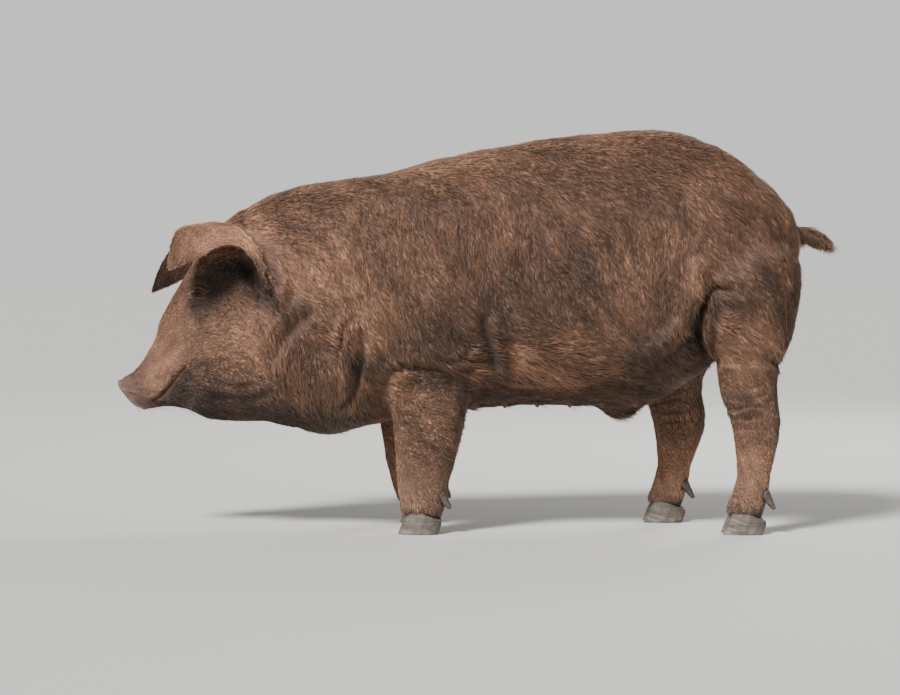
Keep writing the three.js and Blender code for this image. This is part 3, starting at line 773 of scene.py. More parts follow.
@dataclass(frozen=True)
class NosePlan:
    """The nose disc: where it is, how it is tilted, its rim and its nostrils."""

    low: Vector
    tilt: float = 0.72  # how far the disc faces down, in radians
    centre_back: float = 0.0246  # from the foremost point to the disc's middle
    centre_up: float = 0.032
    half_width: float = 0.05
    half_height: float = 0.037
    reach: Pair = (0.085, 0.04)  # how far across and how deep the nose is shaped
    face: Ramp = Ramp(-0.016, 0.012)  # what counts as the disc's face, by height along its axis
    # across the face, by the distance from its middle as a share of its half sizes
    rim: Bump = Bump(0.0018, 0.1, 0.93)
    dish: Bump = Bump(0.0012, 0.55)
    cleft: Bump = Bump(0.0016, 0.0022)  # the groove above the middle, by the distance aside
    cleft_up: Ramp = Ramp(0.006, 0.012)
    # each nostril: its place and half sizes, and its lip and bore as shares of those
    nostril_out: float = 0.019
    nostril_up: float = 0.003
    nostril_half: Pair = (0.0068, 0.0095)
    nostril_turn: float = 0.25
    nostril_lip: Bump = Bump(0.0012, 0.22, 1.25)
    nostril_bore: Ramp = Ramp(1.08, -0.5)
    nostril_depth: float = 0.017
    # the rim from the side: how far it is swept back, and its flare and the groove behind it
    sweep: float = 0.019
    sweep_aside: Ramp = Ramp(0.016, 0.022)
    sweep_down: Ramp = Ramp(0.018, -0.034)
    rim_back: float = 0.0045
    flare: Bump = Bump(0.0026, 0.0026)
    groove: Bump = Bump(0.0019, 0.0034, -0.0078)
    front: Ramp = Ramp(0.001, 0.005)
    front_drop: float = 0.0011
    flare_from: Ramp = Ramp(0.72, 0.2)
    flare_to: Ramp = Ramp(1.45, 0.2)

    @classmethod
    def from_frame(cls) -> "NosePlan":
        """Reads the nose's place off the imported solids."""
        return cls(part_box("nose")[0])

    @property
    def centre(self) -> Array:
        """The middle of the disc."""
        return np.array((0, self.low.y + self.centre_back, self.low.z + self.centre_up))

    @property
    def axes(self) -> Array:
        """Rows: to the left, up the disc, and out of it."""
        sine, cosine = math.sin(self.tilt), math.cos(self.tilt)
        return np.array(((1, 0, 0), (0, -sine, cosine), (0, -cosine, -sine)))

    def local(self, points: Array) -> Array:
        """Points in the disc's own axes."""
        return (points - self.centre) @ self.axes.T

    def shape(self, points: Array) -> Array:
        """Presses the nostrils in and raises the rim.

        Args:
            points: The skin's points.

        Returns:
            The points, moved where they lie on the disc.
        """
        spots = self.local(points)
        far, deep = self.reach
        near = (np.abs(spots[:, 2]) < deep) & (np.hypot(spots[:, 0], spots[:, 1]) < far)
        across, up, out = spots[near].T
        ring = np.sqrt((across / self.half_width) ** 2 + (up / self.half_height) ** 2)
        rise = self.rim.over(ring) - self.dish.over(ring)
        rise -= self.cleft.over(across) * self.cleft_up.over(up)
        for side in Side:
            aside = across - side.value * self.nostril_out
            above = up - self.nostril_up
            turn = side.value * self.nostril_turn
            wide = aside * math.cos(turn) + above * math.sin(turn)
            tall = above * math.cos(turn) - aside * math.sin(turn)
            bore = np.sqrt((wide / self.nostril_half[0]) ** 2 + (tall / self.nostril_half[1]) ** 2)
            rise += self.nostril_lip.over(bore)
            floor = -self.nostril_depth * self.nostril_bore.over(bore)
            bored = np.minimum(rise, floor - np.minimum(out, 0))
            rise = np.where(bore < self.nostril_bore.start, bored, rise)
        spots[near, 2] = out + rise * self.face.over(out)
        reach = np.maximum(np.hypot(across, up), 1e-6)
        front = np.percentile(out[ring < 0.5], 60)  # the level of the disc's middle
        swept = self.sweep_aside.over(np.abs(across)) * self.sweep_down.over(up)
        ahead = out - front + self.rim_back + self.sweep * swept
        flare = self.flare.over(ahead) - self.groove.over(ahead)
        flare -= self.front_drop * self.front.over(ahead)
        flare *= self.flare_from.over(ring) * (1 - self.flare_to.over(ring))
        spots[near, :2] *= (1 + flare / reach)[:, None]
        return spots @ self.axes + self.centre


# ---- the lie of the coat


@dataclass(frozen=True)
class Streak:
    """Streaks of lighter and darker hair, partly painted sheen where the lie of the hair turns: how wide, half
    how long, and how strong.
    """

    size: float
    reach: float
    strength: float


@dataclass
class Lie:
    """Which way the hair lies at any place."""

    chart: BodyChart
    swirl: Noise = field(default_factory=lambda: Noise(11))
    strands: Noise = field(default_factory=lambda: Noise(12))
    droop: float = 0.22  # how far the body's hair hangs, as a share of its run
    splay: float = 0.25  # how far the ears' hair parts from the middle
    turns: Rows = ((0.0, 0.085, 0.34), (3.1, 0.036, 0.24))  # a curl's shift, size and turn in radians
    broad: Streak = Streak(0.032, 0.08, 0.2)
    coarse: Streak = Streak(0.013, 0.055, 0.31)
    broad_shift: float = 5.3
    gain: float = 1.7  # brings the mean of a streak's steps back to about -1 to 1
    steady: float = 1.5
    most: float = 1.6

    def at(self, points: Array, normals: Array, is_ear: Array) -> Array:
        """The lie of the hair, along the skin.

        Args:
            points: Places on the skin.
            normals: The skin's outward directions there.
            is_ear: Whether each place is on an ear.

        Returns:
            Unit directions in the skin's plane.
        """
        spots = self.chart.spots(points)
        body = COMB.directions(self.chart, spots)
        ears = EAR_COMB.directions(self.chart, spots)
        flat = np.where(is_ear[:, None], ears, body)
        sideways = np.where(is_ear, self.splay * np.sign(points[:, 0]), 0)
        lie = np.column_stack([sideways, flat[:, 0], flat[:, 1] - self.droop * ~is_ear])
        lie = unit(lie - dot(lie, normals)[:, None] * normals)
        turn = sum(most * self.swirl.at(points + shift, size) for shift, size, most in self.turns)
        return turned(lie, normals, turn * CURL.at(self.chart, spots))

    def waves(self, points: Array, lie: Array) -> Array:
        """The tone of the coat's broad and middling streaks, about 1: partly the coat's own streaks, partly
        painted sheen where its lie turns.
        """
        broad = self.broad.strength * self.streaks(points + self.broad_shift, lie, self.broad)
        return np.exp(broad + self.coarse.strength * self.streaks(points, lie, self.coarse))

    def streaks(self, points: Array, lie: Array, streak: Streak) -> Array:
        """Noise drawn out along the lie, about -1 to 1.

        Args:
            points: Places on the skin.
            lie: The lie of the hair there.
            streak: How wide and long the streaks are.

        Returns:
            A value for each place.
        """
        steps = np.linspace(-streak.reach, streak.reach, max(3, round(2 * streak.reach / streak.size)))
        total = sum(self.strands.at(points + lie * step, streak.size) for step in steps)
        evened = total / len(steps) * self.gain * math.sqrt(len(steps)) / self.steady
        return np.clip(evened, -self.most, self.most)


def turned(lie: Array, normals: Array, turn: Array) -> Array:
    """Directions turned about the normals by some radians."""
    aside = np.cross(normals, lie)
    return lie * np.cos(turn)[:, None] + aside * np.sin(turn)[:, None]


# ---- the skin


@dataclass(frozen=True)
class Teats:
    """Two rows of small teats under the belly."""

    pairs: int = 6
    first: float = 0.494  # share of the body's length
    spacing: float = 0.045
    aside: float = 0.062
    radius: float = 0.0065
    drop: float = 0.012  # how far each hangs
    top: float = 0.32  # they hang below this height, under the belly

    def at(self, chart: BodyChart, points: Array) -> Array:
        """How much of a teat each point is, from 0 to 1."""
        share = np.zeros(len(points))
        for pair in range(self.pairs):
            place = chart.in_space(self.first + pair * self.spacing, 0.0)[0]
            apart = np.hypot(np.abs(points[:, 0]) - self.aside, points[:, 1] - place)
            share = np.maximum(share, np.exp(-((apart / self.radius) ** 2)))
        return share * (points[:, 2] < self.top)


@dataclass(frozen=True)
class Lumps:
    """Small unevenness on the parts with one of some words in their names."""

    words: tuple[str, ...]
    height: float
    size: float | Triple
    shift: float = 0.0  # keeps one kind's lumps apart from another's


LUMPS = (
    Lumps(("neck", "trunk"), 0.0014, 0.055),
    Lumps(("neck", "trunk"), 0.0007, 0.026, 1.7),
    Lumps(("leg",), 0.0006, (0.035, 0.035, 0.014), 0.4),
    Lumps(("head",), 0.0007, 0.019, 0.9),
    Lumps(("ear",), 0.0013, 0.024, 2.3),
)


@dataclass
class Skin:
    """One skin over the nose, head, neck, trunk, tail, ears and legs."""

    chart: BodyChart
    nose: NosePlan
    eyes: tuple[EyePlan, ...]
    teats: Teats = Teats()
    voxel: float = 0.004
    over_eye: float = 0.0015  # how far the skin first closes over the eyeballs
    rounds_easing: int = 8  # smoothing rounds of the parts' own traits
    depth_easing: int = 10
    ear_hollow: Triple = (0.15, 0.208, 0.618)  # aside in metres, along and up
    muzzle: float = 0.115  # how far from the nose's tip the mesh is made finer
    finer: tuple[float, ...] = (0.042, 0.03, 0.021)  # reach of each finer mesh round an eye
    side_on: Ramp = Ramp(0.05, 0.45)  # what counts as facing the side, by the normal's X
    kept_nose: float = 0.06  # reaches within which the mesh isn't thinned
    kept_eye: float = 0.034
    kept_hollow: float = 0.036
    margin: float = 0.97  # share of the most triangles that the thinned skin may take
    disc_bare: Ramp = Ramp(-0.022, 0.01)  # by the distance out along the disc's axis
    disc_damp: Ramp = Ramp(-0.014, 0.008)
    lid_bare: float = 0.95
    lid_hair: Ramp = Ramp(0.014, 0.012)  # how the hair comes back round the lids
    lid_stretch: Triple = (1.4, 1.0, 1.0)
    teat_bare: float = 0.1  # where a teat has risen this far it is quite bare
    lumps: Noise = field(default_factory=lambda: Noise(5))
    name: str = "skin"
    piece: Piece | None = None

    def __post_init__(self) -> None:
        """Gathers the solids of flesh for finding which part a point belongs to."""
        corners, faces, owners = [], [], []
        for index, part in enumerate(PARTS):
            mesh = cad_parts[part].data
            start = len(corners)
            corners += [vertex.co.copy() for vertex in mesh.vertices]
            faces += [tuple(start + corner for corner in face.vertices) for face in mesh.polygons]
            owners += [index] * len(mesh.polygons)
        self.tree = BVHTree.FromPolygons(corners, faces)
        self.owners = np.array(owners)

    def parts_at(self, points: Array) -> Array:
        """The index in PARTS of the part nearest to each point."""
        return self.owners[[self.tree.find_nearest(point)[2] for point in points.tolist()]]

    @property
    def hollows(self) -> list[Vector]:
        """The middles of the ears' openings."""
        aside, *place = self.ear_hollow
        return [Vector((side.value * aside, *self.chart.in_space(*place))) for side in Side]

    def trait(self, parts: Array, name: str) -> Array:
        """One trait of each point's part."""
        return np.array([getattr(traits_of(part), name) for part in PARTS], float)[parts]

    def build(self) -> Piece:
        """Casts, smooths, sculpts and lightens the skin.

        Returns:
            The skin's object.
        """
        self.piece = self._cast()
        self._settle()
        self._refine()
        self._sculpt()
        self._lighten()
        self._mark()
        return self.piece

    def _cast(self) -> Piece:
        """Joins grown copies of the solids under one even skin that closes over the eyes."""
        joined = bmesh.new()
        for part in (*PARTS, *(f"eye_{side.label}" for side in Side)):
            bm = solid_of(part)
            bm.normal_update()
            grow = traits_of(part).grow if part in PARTS else self.over_eye
            for vertex in bm.verts:
                vertex.co += vertex.normal * grow
            solid = mesh_from(bm, part)
            joined.from_mesh(solid)
            bpy.data.meshes.remove(solid)
        return evened(new_object(self.name, mesh_from(joined, self.name)), self.voxel)

    def _settle(self) -> None:
        """Rounds the facets away and lets the skin down by the coat's depth."""
        surface = Surface(self.piece.data)
        parts = self.parts_at(surface.points)
        surface.relax(surface.blurred(self.trait(parts, "rounds"), self.rounds_easing))
        depth = surface.blurred(self.trait(parts, "depth"), self.depth_easing)
        surface.push(-depth)
        surface.write()

    def _refine(self) -> None:
        """Gives the muzzle, the eyes and the ears' openings a finer mesh."""
        bm = bmesh.new()
        bm.from_mesh(self.piece.data)
        muzzle_end = self.nose.low.y + self.muzzle
        for reach in self.finer:
            first = reach == self.finer[0]
            centres = [eye.centre for eye in self.eyes] + (self.hollows if first else [])
            wanted = [
                face
                for face in bm.faces
                if (first and face.verts[0].co.y < muzzle_end)
                or any((face.verts[0].co - centre).length < reach for centre in centres)
            ]
            edges = list({edge for face in wanted for edge in face.edges})
            bmesh.ops.subdivide_edges(bm, edges=edges, cuts=1, use_grid_fill=True)
        bmesh.ops.triangulate(bm, faces=[face for face in bm.faces if len(face.verts) > 4])
        bm.to_mesh(self.piece.data)
        bm.free()

    def _sculpt(self) -> None:
        """Raises the swellings, folds and teats, and shapes the nose and the lids."""
        surface = Surface(self.piece.data)
        parts = self.parts_at(surface.points)
        normals = surface.normals()
        spots = self.chart.spots(surface.points)
        not_ear = 1 - self.is_part(parts, "ear")
        facing = self.side_on.over(normals[:, 0] * np.sign(surface.points[:, 0])) * not_ear
        heights = np.zeros(len(spots))
        for kind in LUMPS:
            rise = self.lumps.at(surface.points + kind.shift, kind.size) * kind.height
            heights += self.is_part(parts, *kind.words) * rise
        for along, up, reach_along, reach_up, height in SWELLS:
            place = self.chart.metres([(along, up)])[0]
            apart = (spots - place) / (reach_along, reach_up)
            heights += height * facing * np.exp(-np.sum(apart**2, axis=1))
        for fold in FOLDS:
            heights += not_ear * fold.height(self.chart, spots, facing)
        heights += self.teats.drop * self.teats.at(self.chart, surface.points)
        surface.push(heights)
        surface.points = self.nose.shape(surface.points)
        for eye in self.eyes:
            surface.points = eye.open_lids(surface.points)
        surface.write()

    def is_part(self, parts: Array, *words: str) -> Array:
        """Whether each point's part has one of these words in its name, as 0 or 1."""
        hits = [any(word in part for word in words) for part in PARTS]
        return np.array(hits, float)[parts]

    def _lighten(self) -> None:
        """Thins the mesh where the skin is plain, down to what one piece may hold."""
        mesh = self.piece.data
        mesh.calc_loop_triangles()
        total = len(mesh.loop_triangles)
        points = np.zeros(len(mesh.vertices) * 3, np.float32)
        mesh.vertices.foreach_get("co", points)
        points = points.reshape(-1, 3)
        group = self.piece.vertex_groups.new(name="plain")
        keep = points[:, 1] < self.nose.low.y + self.kept_nose
        kept = [(eye.centre, self.kept_eye) for eye in self.eyes]
        kept += [(place, self.kept_hollow) for place in self.hollows]
        for place, reach in kept:
            keep |= np.linalg.norm(points - np.array(place), axis=1) < reach
        keep |= self.is_part(self.parts_at(points), "ear") > 0
        log.info("skin: %d triangles before thinning, %d of %d points kept", total, keep.sum(), len(keep))
        group.add(np.flatnonzero(~keep).tolist(), 1.0, "REPLACE")
        thin = self.piece.modifiers.new("thin", "DECIMATE")
        thin.ratio = MOST_TRIANGLES * self.margin / total
        thin.vertex_group = group.name
        thin.vertex_group_factor = 1.0
        baked(self.piece)
        self.piece.vertex_groups.clear()
        self.piece.data.shade_smooth()

    def _mark(self) -> None:
        """Writes what the finishes and the coat need onto the skin's points."""
        surface = Surface(self.piece.data)
        normals = surface.normals()
        self.parts = self.parts_at(surface.points)
        spots = self.chart.spots(surface.points)
        self.lie = Lie(self.chart)
        is_ear = self.is_part(self.parts, "ear") > 0
        lie = self.lie.at(surface.points, normals, is_ear)
        set_attribute(self.piece.data, "lie", lie)
        # The tone is painted light and shade from the chart, times the coat's streaks, which are partly painted
        # sheen.
        tone = PAINTED_LIGHT_AND_TONE.at(self.chart, spots) * self.lie.waves(surface.points, lie)
        set_attribute(self.piece.data, "tone", tone)
        bare = BARE.at(self.chart, spots) * (1 - is_ear)
        out_of_disc = self.nose.local(surface.points)[:, 2]
        bare = np.maximum(bare, self.disc_bare.over(out_of_disc))
        for eye in self.eyes:
            reach = np.linalg.norm(eye.local(surface.points) / self.lid_stretch, axis=1)
            bare = np.maximum(bare, self.lid_bare * (1 - self.lid_hair.over(reach)))
        teats = self.teats.at(self.chart, surface.points)
        bare = np.maximum(bare, smooth_step(teats / self.teat_bare))
        set_attribute(self.piece.data, "bare", bare)
        set_attribute(self.piece.data, "damp", self.disc_damp.over(out_of_disc))


# ---- the coat


@dataclass(frozen=True)
class Outline:
    """How a tuft is built. Its points are the root, the left, the right and, last, the tip."""

    faces: tuple[tuple[int, int, int], ...]
    knee: float  # share of the length at which it bends and is widest
    level: float  # how much of its rise it keeps beyond the knee
    along: tuple[float, ...]  # each point's place from root to tip, for the hair's colour
    across: tuple[float, ...]  # each point's place from side to side
    # the finest streaks are partly painted glints along the hair
    streak: Streak  # the finest streaks of its coat's tone


class Shape(Enum):
    """The shapes of tuft: a bent lock for the body, a plain sliver for short hair."""

    LOCK = Outline(
        faces=((0, 2, 3), (0, 3, 1), (3, 2, 4), (3, 4, 1), (0, 1, 2), (1, 4, 2)),
        knee=0.45,
        level=0.25,
        along=(0.0, 0.45, 0.45, 0.45, 1.0),
        across=(0.0, -1.0, 1.0, 0.0, 0.0),
        streak=Streak(0.0045, 0.028, 0.29),
    )
    SLIVER = Outline(
        faces=((0, 2, 3), (0, 3, 1), (0, 1, 2), (1, 3, 2)),
        knee=0.38,
        level=1.0,
        along=(0.36, 0.58, 0.58, 1.0),
        across=(0.0, -1.0, 1.0, 0.0),
        streak=Streak(0.0026, 0.014, 0.31),
    )


class Wrap(Enum):
    """How a piece's roots are laid out flat: round the body, round each leg, or each ear's faces."""

    BARREL = "barrel"
    POSTS = "posts"
    LEAVES = "leaves"


@dataclass(frozen=True)
class CoatPatch:
    """One piece of the coat: the parts it covers and its span along the body, as shares."""

    name: str
    words: tuple[str, ...]
    shape: Shape = Shape.LOCK
    wrap: Wrap = Wrap.BARREL
    start: float = -1.0
    end: float = 2.0


PATCHES = (
    CoatPatch("coat_head", ("head", "nose"), Shape.SLIVER),
    CoatPatch("coat_ears", ("ear_left", "ear_right"), Shape.SLIVER, Wrap.LEAVES),
    CoatPatch("coat_neck", ("neck",)),
    CoatPatch("coat_shoulder", ("trunk",), end=0.45),
    CoatPatch("coat_ribs", ("trunk",), start=0.45, end=0.58),
    CoatPatch("coat_flank", ("trunk",), start=0.58, end=0.71),
    CoatPatch("coat_loin", ("trunk",), start=0.71, end=0.84),
    CoatPatch("coat_rump", ("trunk",), start=0.84),
    CoatPatch("coat_tail", ("tail",)),
    CoatPatch("coat_forelegs", ("foreleg",), Shape.SLIVER, Wrap.POSTS),
    CoatPatch("coat_hindlegs", ("hindleg",), Shape.SLIVER, Wrap.POSTS),
)


@dataclass
class Tufts:
    """Many tufts of one shape, as arrays with a row for each tuft."""

    shape: Shape
    roots: Array
    normals: Array
    lie: Array
    length: Array
    width: Array
    lift: Array
    bend: Array  # how far the outer half turns sideways, in radians
    pull: Array  # how far the tip is drawn aside, in metres
    tone: Array
    strand: Array
    flat: Array  # the roots' places on the unwrap, from 0 to 1
    sunk: float = 0.012  # how deep the root goes, as a share of the length
    edge_drop: float = 0.45  # how far its edges bend down, in half widths
    crest: float = 0.55  # how far a lock's ridge stands up, in half widths
    patch: float = 0.003  # size of a tuft's own patch on the bake's map
    inset: float = 0.01  # how far the patches stay off the map's edges

    def corners(self) -> Array:
        """Every tuft's points, as an array of tufts, points and axes."""
        normals, lie = self.normals, self.lie
        aside = np.cross(normals, lie)
        reach = self.length[:, None]
        half = 0.5 * self.width[:, None]
        root = self.roots - normals * reach * self.sunk
        rise = np.sin(self.lift)[:, None]
        knee, level = self.shape.value.knee, self.shape.value.level
        middle = root + reach * knee * (lie * np.cos(self.lift)[:, None] + normals * rise)
        ahead = turned(lie, normals, self.bend)
        tip = middle + reach * (1 - knee) * (ahead + normals * rise * level) + aside * self.pull[:, None]
        left = middle + aside * half - normals * half * self.edge_drop
        right = middle - aside * half - normals * half * self.edge_drop
        if self.shape is Shape.LOCK:
            return np.stack([root, left, right, middle + normals * half * self.crest, tip], axis=1)
        return np.stack([root, left, right, tip], axis=1)

    def build(self, name: str) -> Piece:
        """Makes one joined mesh of all the tufts.

        Args:
            name: The piece's name.

        Returns:
            The piece.
        """
        corners = self.corners()
        count, size = corners.shape[:2]
        faces = (np.arange(count)[:, None, None] * size + np.array(self.shape.value.faces)).reshape(-1, 3)
        mesh = bpy.data.meshes.new(name)
        mesh.vertices.add(count * size)
        mesh.vertices.foreach_set("co", corners.astype(np.float32).ravel())
        mesh.loops.add(faces.size)
        mesh.loops.foreach_set("vertex_index", faces.astype(np.int32).ravel())
        mesh.polygons.add(len(faces))
        mesh.polygons.foreach_set("loop_start", np.arange(0, faces.size, 3, dtype=np.int32))
        mesh.update(calc_edges=True)
        mesh.shade_smooth()
        along, across = np.array(self.shape.value.along), np.array(self.shape.value.across)
        places = np.column_stack([np.tile(along, count), np.tile(across, count)])
        set_attribute(mesh, "hair", np.column_stack([places, np.repeat(self.strand, size)]))
        set_attribute(mesh, "tone", np.repeat(self.tone, size))
        offset = np.column_stack([across, rescaled(along) * 2 - 1]) * self.patch / 2
        spread = (self.flat[:, None] * (1 - 2 * self.inset) + self.inset + offset[None]).reshape(-1, 2)
        layer = mesh.uv_layers.new(name="OFBake")
        layer.data.foreach_set("uv", spread[faces.ravel()].astype(np.float32).ravel())
        return new_object(name, mesh)


@dataclass
class Coat:
    """The coat of short tufts that lies over the skin."""

    skin: Skin
    seed: int = 2024
    lock_every: int = 9  # tufts that are drawn together
    gather: float = 0.5  # how far tips are drawn to their lock's middle, as a share
    gather_short: float = 0.22  # the same on short hair
    widest_lock: float = 0.011
    easing: int = 18  # smoothing rounds where one part's coat meets another's
    # how widely things vary from lock to lock and from tuft to tuft
    turn: Pair = (0.12, 0.09)
    bend: Pair = (0.1, 0.16)
    tone: Pair = (0.05, 0.06)
    lock_lift: float = 0.02
    lift_spread: float = 0.22
    length_spread: float = 0.16
    width_spread: float = 0.22
    pale_lift: float = 0.035  # how much more a pale streak stands off
    least_lift: float = 0.02
    most_lift: float = 0.6

    def __post_init__(self) -> None:
        """Reads the skin's triangles."""
        mesh = self.skin.piece.data
        mesh.calc_loop_triangles()
        count = len(mesh.loop_triangles)
        corners = np.zeros(count * 3, np.int32)
        mesh.loop_triangles.foreach_get("vertices", corners)
        self.surface = Surface(mesh)
        self.normals = self.surface.normals()
        self.points = self.surface.points
        self.corners = corners.reshape(-1, 3)
        one, two, three = (self.points[self.corners[:, index]] for index in range(3))
        self.areas = 0.5 * np.linalg.norm(np.cross(two - one, three - one), axis=1)
        self.centres = (one + two + three) / 3
        self.parts = self.skin.parts[self.corners[:, 0]]
        self.bare = get_attribute(mesh, "bare")[self.corners].mean(axis=1)
        spots = self.skin.chart.spots(self.centres)
        scale = HAIR_LENGTH.at(self.skin.chart, spots)
        self.hair = self._blended("hair") * scale
        self.width = self._blended("width") * np.sqrt(scale)
        self.lift = self._blended("lift")
        cover = self._blended("cover") * np.clip(1 - self.bare, 0, 1)
        self.density = cover / (0.5 * self.hair * self.width)

    def build(self) -> list[Piece]:
        """Makes every piece of the coat.

        Returns:
            The pieces.
        """
        pieces = []
        for patch in PATCHES:
            tufts = self._grow(patch)
            piece = tufts.build(patch.name)
            log.info("%s: %d tufts, %d triangles", patch.name, len(tufts.roots), len(piece.data.polygons))
            pieces.append(piece)
        return pieces

    def _blended(self, name: str) -> Array:
        """A trait at each triangle, easing from one part to the next."""
        values = self.surface.blurred(self.skin.trait(self.skin.parts, name), self.easing)
        return values[self.corners].mean(axis=1)

    def _within(self, patch: CoatPatch) -> Array:
        """Whether each triangle of the skin belongs to a patch."""
        own = [any(part.startswith(word) for word in patch.words) for part in PARTS]
        along = (self.centres[:, 1] - self.skin.chart.nose_y) / self.skin.chart.length
        return np.array(own)[self.parts] & (along >= patch.start) & (along < patch.end)

    def _grow(self, patch: CoatPatch) -> Tufts:
        """Scatters a patch's roots over the skin and combs its tufts.

        Args:
            patch: Which piece of the coat to grow.

        Returns:
            The patch's tufts.
        """
        rng = np.random.default_rng([self.seed, PATCHES.index(patch)])
        wanted = np.where(self._within(patch), self.areas * self.density, 0)
        limit = MOST_TRIANGLES // len(patch.shape.value.faces)
        total = wanted.sum()
        if total > limit:
            log.info("%s: %d tufts held to %d", patch.name, total, limit)
            wanted *= limit / total
        heap = np.cumsum(wanted)
        marks = np.arange(int(heap[-1])) + rng.uniform(0, 1, int(heap[-1]))
        chosen = np.searchsorted(heap, np.minimum(marks, heap[-1] - 1e-9))
        share = rng.uniform(0, 1, (2, len(chosen)))
        share = np.where(share.sum(axis=0) > 1, 1 - share, share)
        weights = np.stack([1 - share.sum(axis=0), *share], axis=1)[:, :, None]
        roots = (self.points[self.corners[chosen]] * weights).sum(axis=1)
        normals = unit((self.normals[self.corners[chosen]] * weights).sum(axis=1))
        parts = self.parts[chosen]
        return self._comb(patch, rng, chosen, roots, normals, parts)

    def _comb(
        self, patch: CoatPatch, rng: Random, chosen: Array, roots: Array, normals: Array, parts: Array
    ) -> Tufts:
        """Lays scattered roots' tufts along the body, gathered into locks.

        Args:
            patch: The piece of the coat.
            rng: The patch's own random draws.
            chosen: The triangle of each root.
            roots: Where the tufts stand.
            normals: The skin's outward directions there.
            parts: The part of each root.

        Returns:
            The tufts.
        """
        count = len(roots)
        is_ear = self.skin.is_part(parts, "ear") > 0
        lie = self.skin.lie.at(roots, normals, is_ear)
        guides = np.arange(0, count, self.lock_every)
        lock = nearest_of(roots[guides], roots)
        waves = self.skin.lie.waves(roots, lie)
        streak = patch.shape.value.streak
        fine = self.skin.lie.streaks(roots, lie, streak)

        def vary(spread: Pair) -> tuple[Array, Array]:
            """Draws a value for each tuft's lock and one for the tuft."""
            return rng.normal(0, spread[0], len(guides))[lock], rng.normal(0, spread[1], count)

        lie = turned(lie, normals, sum(vary(self.turn)))
        apart = dot(roots - roots[guides][lock], np.cross(normals, lie))
        apart = np.clip(apart, -self.widest_lock, self.widest_lock)
        gather = self.gather if patch.shape is Shape.LOCK else self.gather_short
        # The tone is painted light and shade from the chart, times streaks that are partly painted sheen, times
        # each lock's and tuft's own random tone.
        tone = PAINTED_LIGHT_AND_TONE.at(self.skin.chart, self.skin.chart.spots(roots))
        tone *= waves * np.exp(streak.strength * fine)
        by_lock, by_tuft = vary(self.tone)
        tone *= np.exp(by_lock) * np.exp(by_tuft)
        lift = self.lift[chosen] * np.exp(rng.normal(0, self.lift_spread, count))
        lift += rng.normal(0, self.lock_lift, len(guides))[lock] + self.pale_lift * fine
        return Tufts(
            patch.shape, roots, normals, lie,
            length=self.hair[chosen] * np.exp(rng.normal(0, self.length_spread, count)),
            width=self.width[chosen] * np.exp(rng.normal(0, self.width_spread, count)),
            lift=np.clip(lift, self.least_lift, self.most_lift),
            bend=sum(vary(self.bend)),
            pull=-gather * apart, tone=tone, strand=rng.uniform(0, 1, count),
            flat=self._unwrap(patch.wrap, roots, normals),
        )

    def _unwrap(self, wrap: Wrap, roots: Array, normals: Array) -> Array:
        """The roots' places on a flat layout of their own stretch of skin, from 0 to 1.

        Args:
            wrap: The kind of layout.
            roots: Where the tufts stand.
            normals: The skin's outward directions there.

        Returns:
            Two numbers for each root.
        """
        flat = np.zeros((len(roots), 2))
        if wrap is Wrap.BARREL:
            middle = 0.5 * (roots[:, 2].min() + roots[:, 2].max())
            flat[:, 0] = rescaled(roots[:, 1])
            flat[:, 1] = rescaled(np.arctan2(roots[:, 0], roots[:, 2] - middle))
            return flat
        for column, side in enumerate(Side):
            for row in range(2 if wrap is Wrap.LEAVES else 1):
                mine = roots[:, 0] * side.value > 0
                if wrap is Wrap.LEAVES:
                    mine &= (normals[:, 2] > 0) == bool(row)
                    flat[mine, 1] = 0.5 * row + 0.49 * rescaled(roots[mine, 2])
                    flat[mine, 0] = 0.5 * column + 0.49 * rescaled(roots[mine, 1])
                else:
                    centre = roots[mine].mean(axis=0)
                    around = np.arctan2(roots[mine, 0] - centre[0], roots[mine, 1] - centre[1])
                    flat[mine, 0] = 0.5 * column + 0.49 * rescaled(around)
                    flat[mine, 1] = rescaled(roots[mine, 2])
        return flat


def nearest_of(centres: Array, points: Array) -> Array:
    """The index of the centre nearest to each point."""
    tree = KDTree(len(centres))
    for index, centre in enumerate(centres.tolist()):
        tree.insert(centre, index)
    tree.balance()
    return np.array([tree.find(point)[1] for point in points.tolist()])


# ---- eyes and claws


@dataclass
class Eyeball:
    """One wet dark eye, with the iris and pupil marked on it."""

    plan: EyePlan
    rings: int = 32
    cornea: float = 0.0006  # how far it stands out
    cornea_spread: float = 0.42  # the angle over which it does

    def build(self) -> Piece:
        """Makes the ball, with its cornea standing out a little."""
        bm = bmesh.new()
        radius = self.plan.radius
        bmesh.ops.create_uvsphere(bm, u_segments=2 * self.rings, v_segments=self.rings, radius=radius)
        turn = self.plan.axes.transposed()
        reach = []
        for vertex in bm.verts:
            angle = math.acos(max(-1.0, min(1.0, vertex.co.z / radius)))
            reach.append(angle)
            bulge = self.cornea * math.exp(-((angle / self.cornea_spread) ** 2))
            vertex.co *= 1 + bulge / radius
            vertex.co = turn @ vertex.co + self.plan.centre
        mesh = mesh_from(bm, f"eyeball_{self.plan.side.label}")
        set_attribute(mesh, "reach", np.array(reach))
        return new_object(mesh.name, mesh)


